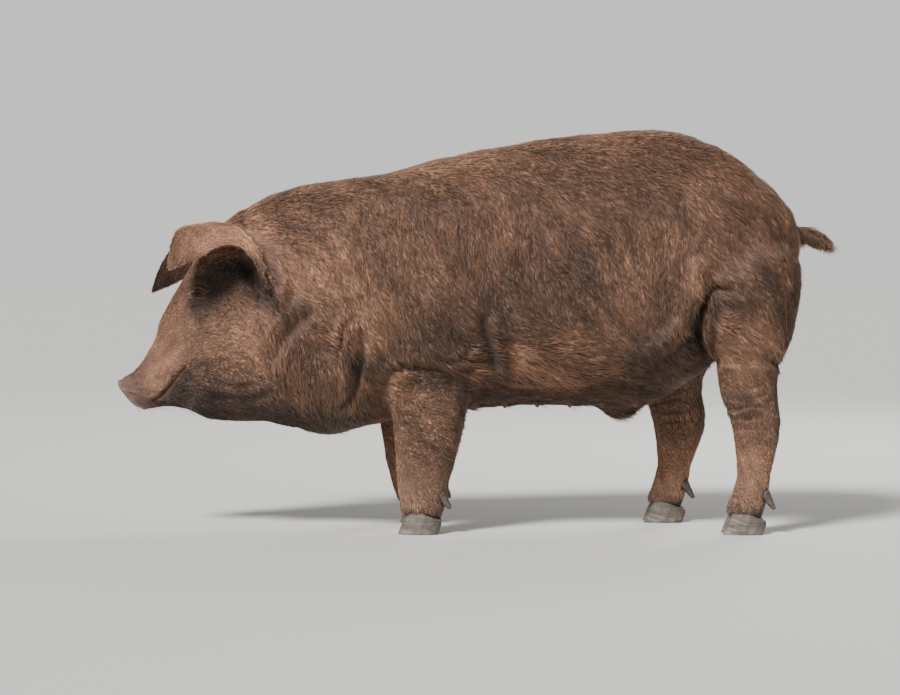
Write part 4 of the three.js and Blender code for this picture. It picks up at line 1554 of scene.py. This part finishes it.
@dataclass
class Claw:
    """One claw or dewclaw: a worn horn shoe with growth ridges, or a blunt horn peg."""

    node: str
    ridges: Noise
    voxel: float = 0.0022
    claw_rounds: float = 5.0  # smoothing rounds
    dewclaw_rounds: float = 9.0
    slant: float = 0.3  # how far the ridges drop toward the front
    ridge_size: Triple = (0.08, 0.08, 0.0036)
    ridge: float = 0.0005
    pit_size: float = 0.008
    pit_shift: float = 2.0
    pit: float = 0.0004
    seat: float = 0.005  # how far the top of a claw is drawn up into the skin
    seat_from: float = 0.55  # shares of the claw's height
    seat_over: float = 0.4
    sole: float = 0.0012  # what is lower than this is pressed flat onto the floor

    def build(self) -> Piece:
        """Rounds a copy of the solid, seats it in the skin and raises its ridges."""
        low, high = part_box(self.node)
        name = f"horn_{self.node}"
        piece = evened(new_object(name, mesh_from(solid_of(self.node), name)), self.voxel)
        surface = Surface(piece.data)
        on_floor = low.z < self.sole
        rounds = self.claw_rounds if on_floor else self.dewclaw_rounds
        surface.relax(np.full(len(surface.points), rounds))
        sloped = surface.points.copy()
        sloped[:, 2] += self.slant * sloped[:, 1]
        rise = self.ridges.at(sloped, self.ridge_size) * self.ridge
        rise += self.ridges.at(surface.points + self.pit_shift, self.pit_size) * self.pit
        surface.push(rise)
        if on_floor:
            points, height = surface.points, high.z - low.z
            top = Ramp(low.z + self.seat_from * height, self.seat_over * height)
            points[:, 2] = np.maximum(points[:, 2] + self.seat * top.over(points[:, 2]), 0)
            points[points[:, 2] < self.sole, 2] = 0
        surface.write()
        piece.data.shade_smooth()
        return piece


@dataclass(frozen=True)
class Spray:
    """Some longer hairs round a place on the body chart, on both sides or under the middle."""

    along: float
    up: float
    reach: float
    count: int  # on each side
    length: float
    lift: float
    below: bool = False  # whether it hangs from the belly
    flat: float = 0.4  # how far a spray below spreads aside, as a share of its reach

    def rays(self, chart: BodyChart, rng: Random) -> Iterable[tuple[Array, Array]]:
        """Starts and directions of lines toward the roots.

        Args:
            chart: The body chart.
            rng: Where the scatter comes from.

        Yields:
            A point and a direction for each hair.
        """
        y, z = chart.in_space(self.along, self.up)
        for side in Side:
            for aside, above in rng.normal(0, self.reach, (self.count, 2)):
                if self.below:
                    yield np.array((self.flat * above, y + aside, -0.5)), np.array((0.0, 0.0, 1.0))
                else:
                    yield np.array((side.value, y + aside, z + above)), np.array((-side.value, 0.0, 0.0))


SPRAYS = (
    Spray(0.045, 0.315, 0.013, 34, 0.026, 0.75),
    Spray(0.085, 0.31, 0.018, 50, 0.024, 0.55),
    Spray(0.026, 0.35, 0.009, 12, 0.018, 0.7),
    Spray(0.11, 0.345, 0.014, 70, 0.026, 0.5),
    Spray(0.1, 0.395, 0.01, 40, 0.02, 0.4),
    Spray(0.118, 0.622, 0.01, 12, 0.018, 0.6),
    Spray(0.206, 0.625, 0.016, 120, 0.028, 0.45),
    Spray(0.694, 0.262, 0.009, 60, 0.034, 0.45, below=True),
)


@dataclass
class Bristles:
    """Lashes on the lids, and longer hairs on the lips, chin, brows, ears and belly."""

    skin: Skin
    seed: int = 77
    # the upper and the lower lid's lashes: how many, and how long
    lashes: tuple[tuple[bool, int, float], ...] = ((True, 26, 0.013), (False, 13, 0.006))
    lash_spread: float = 0.1
    lash_lift: float = -0.12
    turn_spread: float = 0.25
    width: float = 0.0007
    bend: float = 0.06
    # least and most of what varies evenly, lengths and lifts as shares of their own
    lash_lengths: Pair = (0.75, 1.15)
    lengths: Pair = (0.6, 1.15)
    lifts: Pair = (0.6, 1.2)
    tones: Pair = (0.3, 0.8)
    strands: Pair = (0.0, 0.6)

    def build(self) -> list[Piece]:
        """Makes the lashes and the bristles."""
        rng = np.random.default_rng(self.seed)
        return [self._lashes(rng), self._sprays(rng)]

    def _lashes(self, rng: Random) -> Piece:
        """Makes the lashes as one piece."""
        roots, aims, lengths = [], [], []
        for eye in self.skin.eyes:
            for upper, count, length in self.lashes:
                where, aim = eye.lash_roots(count, upper)
                roots.append(where)
                aims.append(unit(aim + rng.normal(0, self.lash_spread, aim.shape)))
                lengths.append(length * rng.uniform(*self.lash_lengths, count))
        aims, lengths = np.vstack(aims), np.concatenate(lengths)
        up = np.tile((0.0, 0.0, 1.0), (len(aims), 1))
        normals = unit(up - dot(up, aims)[:, None] * aims)
        lift = np.full(len(aims), self.lash_lift)
        return self._tufts(rng, np.vstack(roots), normals, aims, lengths, lift).build("lashes")

    def _sprays(self, rng: Random) -> Piece:
        """Makes the longer hairs as one piece."""
        mesh = self.skin.piece.data
        tree = BVHTree.FromPolygons(
            [vertex.co for vertex in mesh.vertices], [tuple(face.vertices) for face in mesh.polygons]
        )
        roots, normals, lengths, lifts = [], [], [], []
        for spray in SPRAYS:
            for start, way in spray.rays(self.skin.chart, rng):
                root, normal, *_ = tree.ray_cast(start, way)
                if root:
                    roots.append(root)
                    normals.append(normal)
                    lengths.append(spray.length * rng.uniform(*self.lengths))
                    lifts.append(spray.lift * rng.uniform(*self.lifts))
        roots, normals = np.array(roots), np.array(normals)
        lie = self.skin.lie.at(roots, normals, np.zeros(len(roots), bool))
        lie = turned(lie, normals, rng.normal(0, self.turn_spread, len(roots)))
        tufts = self._tufts(rng, roots, normals, lie, np.array(lengths), np.array(lifts))
        return tufts.build("bristles")

    def _tufts(
        self, rng: Random, roots: Array, normals: Array, lie: Array, length: Array, lift: Array
    ) -> Tufts:
        """Thin single hairs at some roots."""
        count = len(roots)
        return Tufts(
            Shape.SLIVER, roots, normals, lie, length,
            width=np.full(count, self.width), lift=lift, bend=rng.normal(0, self.bend, count),
            pull=np.zeros(count),
            tone=rng.uniform(*self.tones, count), strand=rng.uniform(*self.strands, count),
            flat=np.column_stack([np.arange(count) / count, np.full(count, 0.5)]), sunk=0.0,
        )


# ---- finishes


class Wiring:
    """Adds and joins the nodes of one material or one node group."""

    def __init__(self, tree: bpy.types.NodeTree) -> None:
        """Keeps the tree."""
        self.tree = tree

    def feed(self, socket: Socket, value: object) -> None:
        """Links another socket in, or sets a plain value."""
        if isinstance(value, Socket):
            self.tree.links.new(value, socket)
        else:
            socket.default_value = value

    def node(self, kind: str, inputs: dict | None = None, **settings: object) -> Node:
        """Adds a node.

        Args:
            kind: The node's type.
            inputs: Sockets or values for its inputs, by name or number.
            settings: Properties of the node.

        Returns:
            The node.
        """
        made = self.tree.nodes.new(kind)
        for key, value in settings.items():
            setattr(made, key, value)
        for key, value in (inputs or {}).items():
            self.feed(made.inputs[key], value)
        return made

    def maths(self, operation: str, *values: object, clamp: bool = False) -> Socket:
        """The result of a maths node."""
        made = self.node("ShaderNodeMath", dict(enumerate(values)), operation=operation, use_clamp=clamp)
        return made.outputs[0]

    def vector(self, operation: str, *values: object, output: str = "Vector") -> Socket:
        """The result of a vector maths node."""
        made = self.node("ShaderNodeVectorMath", dict(enumerate(values)), operation=operation)
        return made.outputs[output]

    def scaled(self, vector: object, factor: object) -> Socket:
        """A vector or a colour, scaled."""
        inputs = {0: vector, "Scale": factor}
        return self.node("ShaderNodeVectorMath", inputs, operation="SCALE").outputs["Vector"]

    def mix(self, share: object, one: object, other: object, blend: str = "MIX") -> Socket:
        """A blend of two colours."""
        made = self.node("ShaderNodeMix", data_type="RGBA", blend_type=blend)
        for index, value in ((0, share), (6, one), (7, other)):
            self.feed(made.inputs[index], value)
        return made.outputs[2]

    def ramp(self, share: object, stops: Sequence[tuple[float, tuple]]) -> Socket:
        """A colour ramp through some stops."""
        made = self.node("ShaderNodeValToRGB", {"Fac": share})
        elements = made.color_ramp.elements
        while len(elements) < len(stops):
            elements.new(0.5)
        for element, (place, colour) in zip(elements, stops):
            element.position = place
            element.color = (*colour, 1.0)
        return made.outputs["Color"]

    def noise(
        self, place: object, scale: object, detail: float = 2.0, rough: float = 0.55
    ) -> Socket:
        """A noise value from 0 to 1."""
        inputs = {"Vector": place, "Scale": scale, "Detail": detail, "Roughness": rough}
        return self.node("ShaderNodeTexNoise", inputs).outputs["Fac"]

    def span(
        self, value: object, low: float, high: float, to_low: float = 0.0, to_high: float = 1.0
    ) -> Socket:
        """A value carried from one span to another and held within it."""
        inputs = {0: value, 1: low, 2: high, 3: to_low, 4: to_high}
        return self.node("ShaderNodeMapRange", inputs).outputs["Result"]

    def attribute(self, name: str, output: str = "Fac") -> Socket:
        """A point attribute of the mesh."""
        return self.node("ShaderNodeAttribute", attribute_name=name).outputs[output]

    def place(self) -> Socket:
        """Object coordinates."""
        return self.node("ShaderNodeTexCoord").outputs["Object"]


class Group:
    """A shader node group with named inputs and outputs."""

    def __init__(self, name: str, inputs: dict[str, str], outputs: dict[str, str]) -> None:
        """Makes the group's sockets.

        Args:
            name: The group's name.
            inputs: Each input's name and kind.
            outputs: Each output's name and kind.
        """
        self.tree = bpy.data.node_groups.new(name, "ShaderNodeTree")
        for way, sockets in (("INPUT", inputs), ("OUTPUT", outputs)):
            for socket, kind in sockets.items():
                self.tree.interface.new_socket(name=socket, in_out=way, socket_type=f"NodeSocket{kind}")
        self.wiring = Wiring(self.tree)
        self.given = self.tree.nodes.new("NodeGroupInput").outputs
        self.made = self.tree.nodes.new("NodeGroupOutput").inputs

    def use(self, wiring: Wiring, inputs: dict) -> bpy.types.NodeOutputs:
        """Places the group in a material and feeds it."""
        node = wiring.node("ShaderNodeGroup", node_tree=self.tree)
        for key, value in inputs.items():
            wiring.feed(node.inputs[key], value)
        return node.outputs


@dataclass(frozen=True)
class Hues:
    """The colours of the hog, as linear red, green and blue."""

    root: Triple = (0.054, 0.026, 0.017)
    middle: Triple = (0.136, 0.066, 0.04)
    tip: Triple = (0.4, 0.212, 0.112)
    pale: Triple = (0.5, 0.345, 0.22)
    hide: Triple = (0.13, 0.073, 0.054)
    disc: Triple = (0.165, 0.108, 0.094)
    dust: Triple = (0.34, 0.29, 0.23)
    horn: Triple = (0.045, 0.036, 0.031)
    horn_light: Triple = (0.15, 0.122, 0.096)


HUES = Hues()


class Effects:
    """The node groups that several finishes share."""

    def __init__(self) -> None:
        """Builds each group once."""
        self.colour = self._colour()
        self.dust = self._dust()
        self.creases = self._creases()
        self.streaks = self._streaks()

    @staticmethod
    def _colour() -> Group:
        """Hair colour from root to tip, with paler strands and soft mottling, scaled by a tone that carries
        painted light and shade.
        """
        inputs = {"Place": "Vector", "Along": "Float", "Strand": "Float", "Tone": "Float"}
        group = Group("hog_colour", inputs, {"Color": "Color"})
        wiring, given = group.wiring, group.given
        shifted = wiring.maths("MULTIPLY_ADD", given["Strand"], 0.26, -0.13)
        along = wiring.maths("ADD", given["Along"], shifted, clamp=True)
        colour = wiring.ramp(along, ((0.0, HUES.root), (0.42, HUES.middle), (1.0, HUES.tip)))
        pale = wiring.span(given["Strand"], 0.93, 1.0, 0.0, 0.3)
        pale = wiring.maths("MULTIPLY", pale, along)
        colour = wiring.mix(pale, colour, (*HUES.pale, 1))
        mottle = wiring.span(wiring.noise(given["Place"], 7.0, 4.0, 0.6), 0.3, 0.7, 0.78, 1.22)
        strength = wiring.maths("MULTIPLY", given["Tone"], mottle)
        wiring.feed(group.made["Color"], wiring.scaled(colour, strength))
        return group

    @staticmethod
    def _dust() -> Group:
        """Pale dust on the feet and the lowest parts."""
        inputs = {"Color": "Color", "Place": "Vector", "Height": "Float"}
        group = Group("ground_dust", inputs, {"Color": "Color"})
        wiring, given = group.wiring, group.given
        height = wiring.node("ShaderNodeSeparateXYZ", {0: given["Place"]}).outputs["Z"]
        share = wiring.maths("DIVIDE", height, given["Height"])
        share = wiring.maths("SUBTRACT", 1.0, share, clamp=True)
        patchy = wiring.span(wiring.noise(given["Place"], 60.0, 4.0, 0.65), 0.35, 0.65)
        share = wiring.maths("MULTIPLY", share, patchy)
        share = wiring.maths("MULTIPLY", share, 0.55)
        wiring.feed(group.made["Color"], wiring.mix(share, given["Color"], (*HUES.dust, 1)))
        return group

    @staticmethod
    def _creases() -> Group:
        """Fine crossing creases of bare skin."""
        group = Group("skin_creases", {"Place": "Vector", "Scale": "Float"}, {"Height": "Float"})
        wiring, given = group.wiring, group.given
        bent = wiring.node("ShaderNodeTexNoise", {"Vector": given["Place"], "Scale": 160.0, "Detail": 2.0})
        bent = wiring.scaled(bent.outputs["Color"], 0.004)
        place = wiring.vector("ADD", given["Place"], bent)
        cells = {"Vector": place, "Scale": given["Scale"]}
        edges = wiring.node("ShaderNodeTexVoronoi", cells, feature="DISTANCE_TO_EDGE")
        height = wiring.span(edges.outputs["Distance"], 0.0, 0.12)
        wiring.feed(group.made["Height"], height)
        return group

    @staticmethod
    def _streaks() -> Group:
        """Short streaks of hair along the lie, in overlapping locks."""
        inputs = {"Place": "Vector", "Lie": "Vector", "Scale": "Float"}
        group = Group("hair_streaks", inputs, {"Height": "Float"})
        wiring, given = group.wiring, group.given
        heights = []
        for shift, cells in ((0.0, 28.0), (0.37, 36.0)):
            place = wiring.vector("ADD", given["Place"], (shift, shift, shift))
            cell = wiring.node("ShaderNodeTexVoronoi", {"Vector": place, "Scale": cells})
            inside = wiring.vector("SUBTRACT", place, cell.outputs["Position"])
            run = wiring.vector("DOT_PRODUCT", inside, given["Lie"], output="Value")
            squeeze = wiring.scaled(given["Lie"], wiring.maths("MULTIPLY", run, 0.93))
            narrow = wiring.vector("SUBTRACT", inside, squeeze)
            own = wiring.scaled(cell.outputs["Color"], 5.0)
            narrow = wiring.vector("ADD", narrow, own)
            noise = {"Vector": narrow, "Scale": given["Scale"], "Detail": 2.0}
            heights.append(wiring.node("ShaderNodeTexNoise", noise).outputs["Fac"])
        both = wiring.maths("MAXIMUM", *heights)
        wiring.feed(group.made["Height"], wiring.span(both, 0.35, 0.75))
        return group


@dataclass(frozen=True)
class Finish:
    """A procedural material, made once."""

    name: str
    effects: Effects
    gloss: float = 0.4
    dusty: float = 0.14  # how high dust reaches, in metres
    depth: float = 0.0008  # of the relief, in metres

    def make(self) -> bpy.types.Material:
        """Builds the material."""
        material = bpy.data.materials.new(self.name)
        material.use_nodes = True
        wiring = Wiring(material.node_tree)
        shader = material.node_tree.nodes["Principled BSDF"]
        shader.inputs["Specular IOR Level"].default_value = self.gloss
        self.wire(wiring, shader)
        return material

    def wire(self, wiring: Wiring, shader: Node) -> None:
        """Wires the finish's own nodes."""
        raise NotImplementedError

    def relief(self, wiring: Wiring, shader: Node, height: object) -> None:
        """Feeds a height into the shader's normal."""
        bump = wiring.node("ShaderNodeBump", {"Height": height, "Distance": self.depth, "Strength": 1.0})
        wiring.feed(shader.inputs["Normal"], bump.outputs["Normal"])

    def dusted(self, wiring: Wiring, colour: object, place: object) -> Socket:
        """A colour with dust over it near the floor."""
        inputs = {"Color": colour, "Place": place, "Height": self.dusty}
        return self.effects.dust.use(wiring, inputs)["Color"]


@dataclass(frozen=True)
class CoatFinish(Finish):
    """Hair: dark at the root and paler at the tip, with finer strands within each tuft."""

    gloss: float = 0.36
    dusty: float = 0.16
    depth: float = 0.0002
    sheen: float = 0.12
    sheen_rough: float = 0.45

    def wire(self, wiring: Wiring, shader: Node) -> None:
        """Wires the finish's own nodes."""
        place = wiring.place()
        hair = wiring.node("ShaderNodeSeparateXYZ", {0: wiring.attribute("hair", "Vector")})
        along, across, strand = (hair.outputs[axis] for axis in "XYZ")
        wide = wiring.maths("MULTIPLY", across, 2.4)
        fine = wiring.node("ShaderNodeCombineXYZ", {0: wide, 1: strand, 2: along})
        grain = wiring.noise(wiring.vector("MULTIPLY", fine.outputs[0], (1, 80, 1)), 2.0, 1.0)
        inner = wiring.maths("MULTIPLY_ADD", wiring.maths("SUBTRACT", grain, 0.5), 0.5, strand)
        # the tone carries painted light and shade as well as the coat's own tone
        tone = wiring.attribute("tone")
        inputs = {"Place": place, "Along": along, "Strand": inner, "Tone": tone}
        colour = self.effects.colour.use(wiring, inputs)["Color"]
        wiring.feed(shader.inputs["Base Color"], self.dusted(wiring, colour, place))
        wiring.feed(shader.inputs["Roughness"], wiring.span(strand, 0.0, 1.0, 0.64, 0.46))
        shader.inputs["Sheen Weight"].default_value = self.sheen
        shader.inputs["Sheen Roughness"].default_value = self.sheen_rough
        self.relief(wiring, shader, grain)


@dataclass(frozen=True)
class HideFinish(Finish):
    """The hide under the coat, the bare skin round the eyes and the damp nose disc."""

    def wire(self, wiring: Wiring, shader: Node) -> None:
        """Wires the finish's own nodes."""
        place = wiring.place()
        lie = wiring.attribute("lie", "Vector")
        # the tone carries painted light and shade as well as the coat's own tone
        tone = wiring.attribute("tone")
        bare = wiring.attribute("bare")
        damp = wiring.attribute("damp")
        streaks = self.effects.streaks.use(wiring, {"Place": place, "Lie": lie, "Scale": 1000.0})["Height"]
        creases = self.effects.creases.use(wiring, {"Place": place, "Scale": 850.0})["Height"]
        # the hide's hair runs only from root colour a little way toward the middle: the roots' own colour and
        # painted shade in the gaps between tufts
        along = wiring.span(streaks, 0.0, 1.0, 0.0, 0.22)
        inputs = {"Place": place, "Along": along, "Strand": streaks, "Tone": tone}
        hair = self.effects.colour.use(wiring, inputs)["Color"]
        patchy = wiring.span(wiring.noise(place, 45.0, 5.0, 0.6), 0.3, 0.7, 0.65, 1.3)
        skin = wiring.mix(damp, (*HUES.hide, 1), (*HUES.disc, 1))
        # bare skin a little darker along its fine creases: painted shade
        skin = wiring.mix(1.0, skin, wiring.span(creases, 0.0, 1.0, 0.9, 1.02), "MULTIPLY")
        colour = wiring.mix(bare, hair, wiring.scaled(skin, patchy))
        wiring.feed(shader.inputs["Base Color"], self.dusted(wiring, colour, place))
        smear = wiring.span(wiring.noise(place, 90.0, 3.0), 0.35, 0.65, -0.07, 0.07)
        rough = wiring.maths("MULTIPLY_ADD", damp, -0.26, 0.66)
        wiring.feed(shader.inputs["Roughness"], wiring.maths("ADD", rough, smear))
        fur = wiring.maths("MULTIPLY", streaks, wiring.maths("SUBTRACT", 1.0, bare))
        crackle = wiring.maths("MULTIPLY", creases, wiring.span(bare, 0.0, 1.0, 0.1, 0.3))
        self.relief(wiring, shader, wiring.maths("ADD", fur, crackle))


@dataclass(frozen=True)
class HornFinish(Finish):
    """Dark horn with growth bands, worn patches and dust toward the sole."""

    gloss: float = 0.5
    dusty: float = 0.022
    depth: float = 0.0009

    def wire(self, wiring: Wiring, shader: Node) -> None:
        """Wires the finish's own nodes."""
        place = wiring.place()
        flat = wiring.vector("MULTIPLY", place, (12.0, 12.0, 260.0))
        bands = wiring.noise(flat, 1.0, 3.0, 0.6)
        worn = wiring.noise(place, 150.0, 5.0, 0.7)
        share = wiring.maths("MULTIPLY_ADD", worn, 0.45, wiring.maths("MULTIPLY", bands, 0.55))
        colour = wiring.ramp(share, ((0.36, HUES.horn), (0.7, HUES.horn_light)))
        wiring.feed(shader.inputs["Base Color"], self.dusted(wiring, colour, place))
        wiring.feed(shader.inputs["Roughness"], wiring.span(share, 0.3, 0.7, 0.42, 0.66))
        self.relief(wiring, shader, share)


@dataclass(frozen=True)
class EyeFinish(Finish):
    """A wet eye: dark pupil, brown iris and dull white beyond."""

    gloss: float = 0.38
    wet: float = 0.08  # roughness
    widest: float = 1.6  # the angle from the eye's axis at which the colours end

    def wire(self, wiring: Wiring, shader: Node) -> None:
        """Wires the finish's own nodes."""
        place = wiring.place()
        reach = wiring.attribute("reach")
        noise = wiring.noise(place, 900.0, 3.0)
        reach = wiring.maths("MULTIPLY_ADD", wiring.maths("SUBTRACT", noise, 0.5), 0.06, reach)
        stops = (
            (0.0, (0.004, 0.003, 0.003)), (0.17, (0.005, 0.004, 0.003)), (0.21, (0.042, 0.021, 0.011)),
            (0.38, (0.03, 0.015, 0.009)), (0.44, (0.009, 0.006, 0.005)), (0.54, (0.06, 0.042, 0.034)),
            (0.8, (0.11, 0.07, 0.06)),
        )
        share = wiring.maths("DIVIDE", reach, self.widest)
        wiring.feed(shader.inputs["Base Color"], wiring.ramp(share, stops))
        shader.inputs["Roughness"].default_value = self.wet


# ---- studio


@dataclass(frozen=True)
class Softbox:
    """A soft square light that faces a place."""

    name: str
    place: Triple
    aim: Triple
    power: float
    size: float

    def build(self) -> None:
        """Hangs the light."""
        lamp = bpy.data.lights.new(self.name, "AREA")
        lamp.energy, lamp.size = self.power, self.size
        light = new_object(self.name, lamp)
        light.location = self.place
        light.rotation_euler = (Vector(self.aim) - Vector(self.place)).to_track_quat("-Z", "Y").to_euler()


SOFTBOXES = (
    Softbox("fill", (4.5, 2.4, 1.6), (0.0, 0.1, 0.4), 14, 3.0),
    Softbox("back", (-2.6, 1.8, 2.8), (0.0, 0.0, 0.6), 90, 1.6),
)


@dataclass
class Studio:
    """The floor, the light and the camera."""

    floor_size: float = 60.0
    floor_colour: Triple = (0.54, 0.53, 0.51)
    place: Vector = field(default_factory=lambda: Vector((5.5, -0.058, 0.65)))
    pitch: float = math.radians(2.58)
    lens: float = 98.8
    sensor: float = 36.0
    sight: float = 200.0
    key: float = 6.7
    key_spread: float = math.radians(14)
    key_from: Triple = (0.58, -0.44, 0.68)
    surround_colour: Triple = (0.97, 0.97, 0.96)
    surround: float = 0.2  # how strongly it lights the animal
    backdrop: float = 0.86  # how bright it looks

    def build(self) -> None:
        """Lays the floor, hangs the lights and sets up the camera."""
        self._floor()
        self._key()
        for softbox in SOFTBOXES:
            softbox.build()
        self._surround()
        self._camera()

    def _key(self) -> None:
        """The main light: broad, high, and a little ahead of the animal."""
        lamp = bpy.data.lights.new("key", "SUN")
        lamp.energy, lamp.angle = self.key, self.key_spread
        light = new_object("key", lamp)
        light.rotation_euler = Vector(self.key_from).to_track_quat("Z", "Y").to_euler()

    def _surround(self) -> None:
        """An even pale surround that lights the animal less than it shows."""
        world = bpy.data.worlds.new("studio")
        world.use_nodes = True
        wiring = Wiring(world.node_tree)
        seen = wiring.node("ShaderNodeLightPath").outputs["Is Camera Ray"]
        background = world.node_tree.nodes["Background"]
        background.inputs["Color"].default_value = (*self.surround_colour, 1)
        strength = wiring.span(seen, 0.0, 1.0, self.surround, self.backdrop)
        wiring.feed(background.inputs["Strength"], strength)
        bpy.context.scene.world = world

    def _floor(self) -> None:
        """A plain pale floor."""
        bm = bmesh.new()
        bmesh.ops.create_grid(bm, x_segments=1, y_segments=1, size=self.floor_size / 2)
        floor = new_object("floor", mesh_from(bm, "floor"))
        paint = bpy.data.materials.new("floor")
        paint.use_nodes = True
        shader = paint.node_tree.nodes["Principled BSDF"]
        shader.inputs["Base Color"].default_value = (*self.floor_colour, 1)
        shader.inputs["Roughness"].default_value = 0.9
        floor.data.materials.append(paint)
        floor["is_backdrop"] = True

    def _camera(self) -> None:
        """The camera, level with the back and square to the left side."""
        lens = bpy.data.cameras.new("camera")
        lens.lens, lens.sensor_width = self.lens, self.sensor
        lens.clip_end = self.sight
        camera = new_object("camera", lens)
        camera.location = self.place
        camera.rotation_euler = (math.pi / 2 - self.pitch, 0, math.pi / 2)
        bpy.context.scene.camera = camera


def present(piece: Piece, slot: Slot, material: bpy.types.Material, *nodes: str) -> None:
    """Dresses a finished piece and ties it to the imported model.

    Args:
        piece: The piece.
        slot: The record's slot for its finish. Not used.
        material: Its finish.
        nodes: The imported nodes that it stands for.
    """
    piece.data.materials.clear()
    piece.data.materials.append(material)
    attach(piece, BODY)
    if nodes:
        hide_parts(*nodes)
    log.info("%s: %d faces", piece.name, len(piece.data.polygons))


def main() -> None:
    """Builds the hog and its studio."""
    logging.basicConfig(level=logging.INFO, format="%(name)s: %(message)s")
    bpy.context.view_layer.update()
    chart = BodyChart.from_frame()
    nose = NosePlan.from_frame()
    eyes = tuple(EyePlan.from_frame(side) for side in Side)
    effects = Effects()
    hair = CoatFinish("hair", effects).make()
    horn = HornFinish("horn", effects).make()
    wet: float = EyeFinish("eye", effects).make()
    skin = Skin(chart, nose, eyes)
    present(skin.build(), Slot.HIDE, HideFinish("hide", effects).make(), *PARTS)
    for piece in Coat(skin).build():
        present(piece, Slot.HIDE, hair)
    for piece in Bristles(skin).build():
        present(piece, Slot.HIDE, hair)
    for eye in eyes:
        present(Eyeball(eye).build(), Slot.EYE, wet, f"eye_{eye.side.label}")
    ridges = Noise(21)
    for node in sorted(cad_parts):
        if node.startswith(("claw", "dewclaw")):
            present(Claw(node, ridges).build(), Slot.CLAW, horn, node)
    Studio().build()


if __name__ == "__main__":
    main()
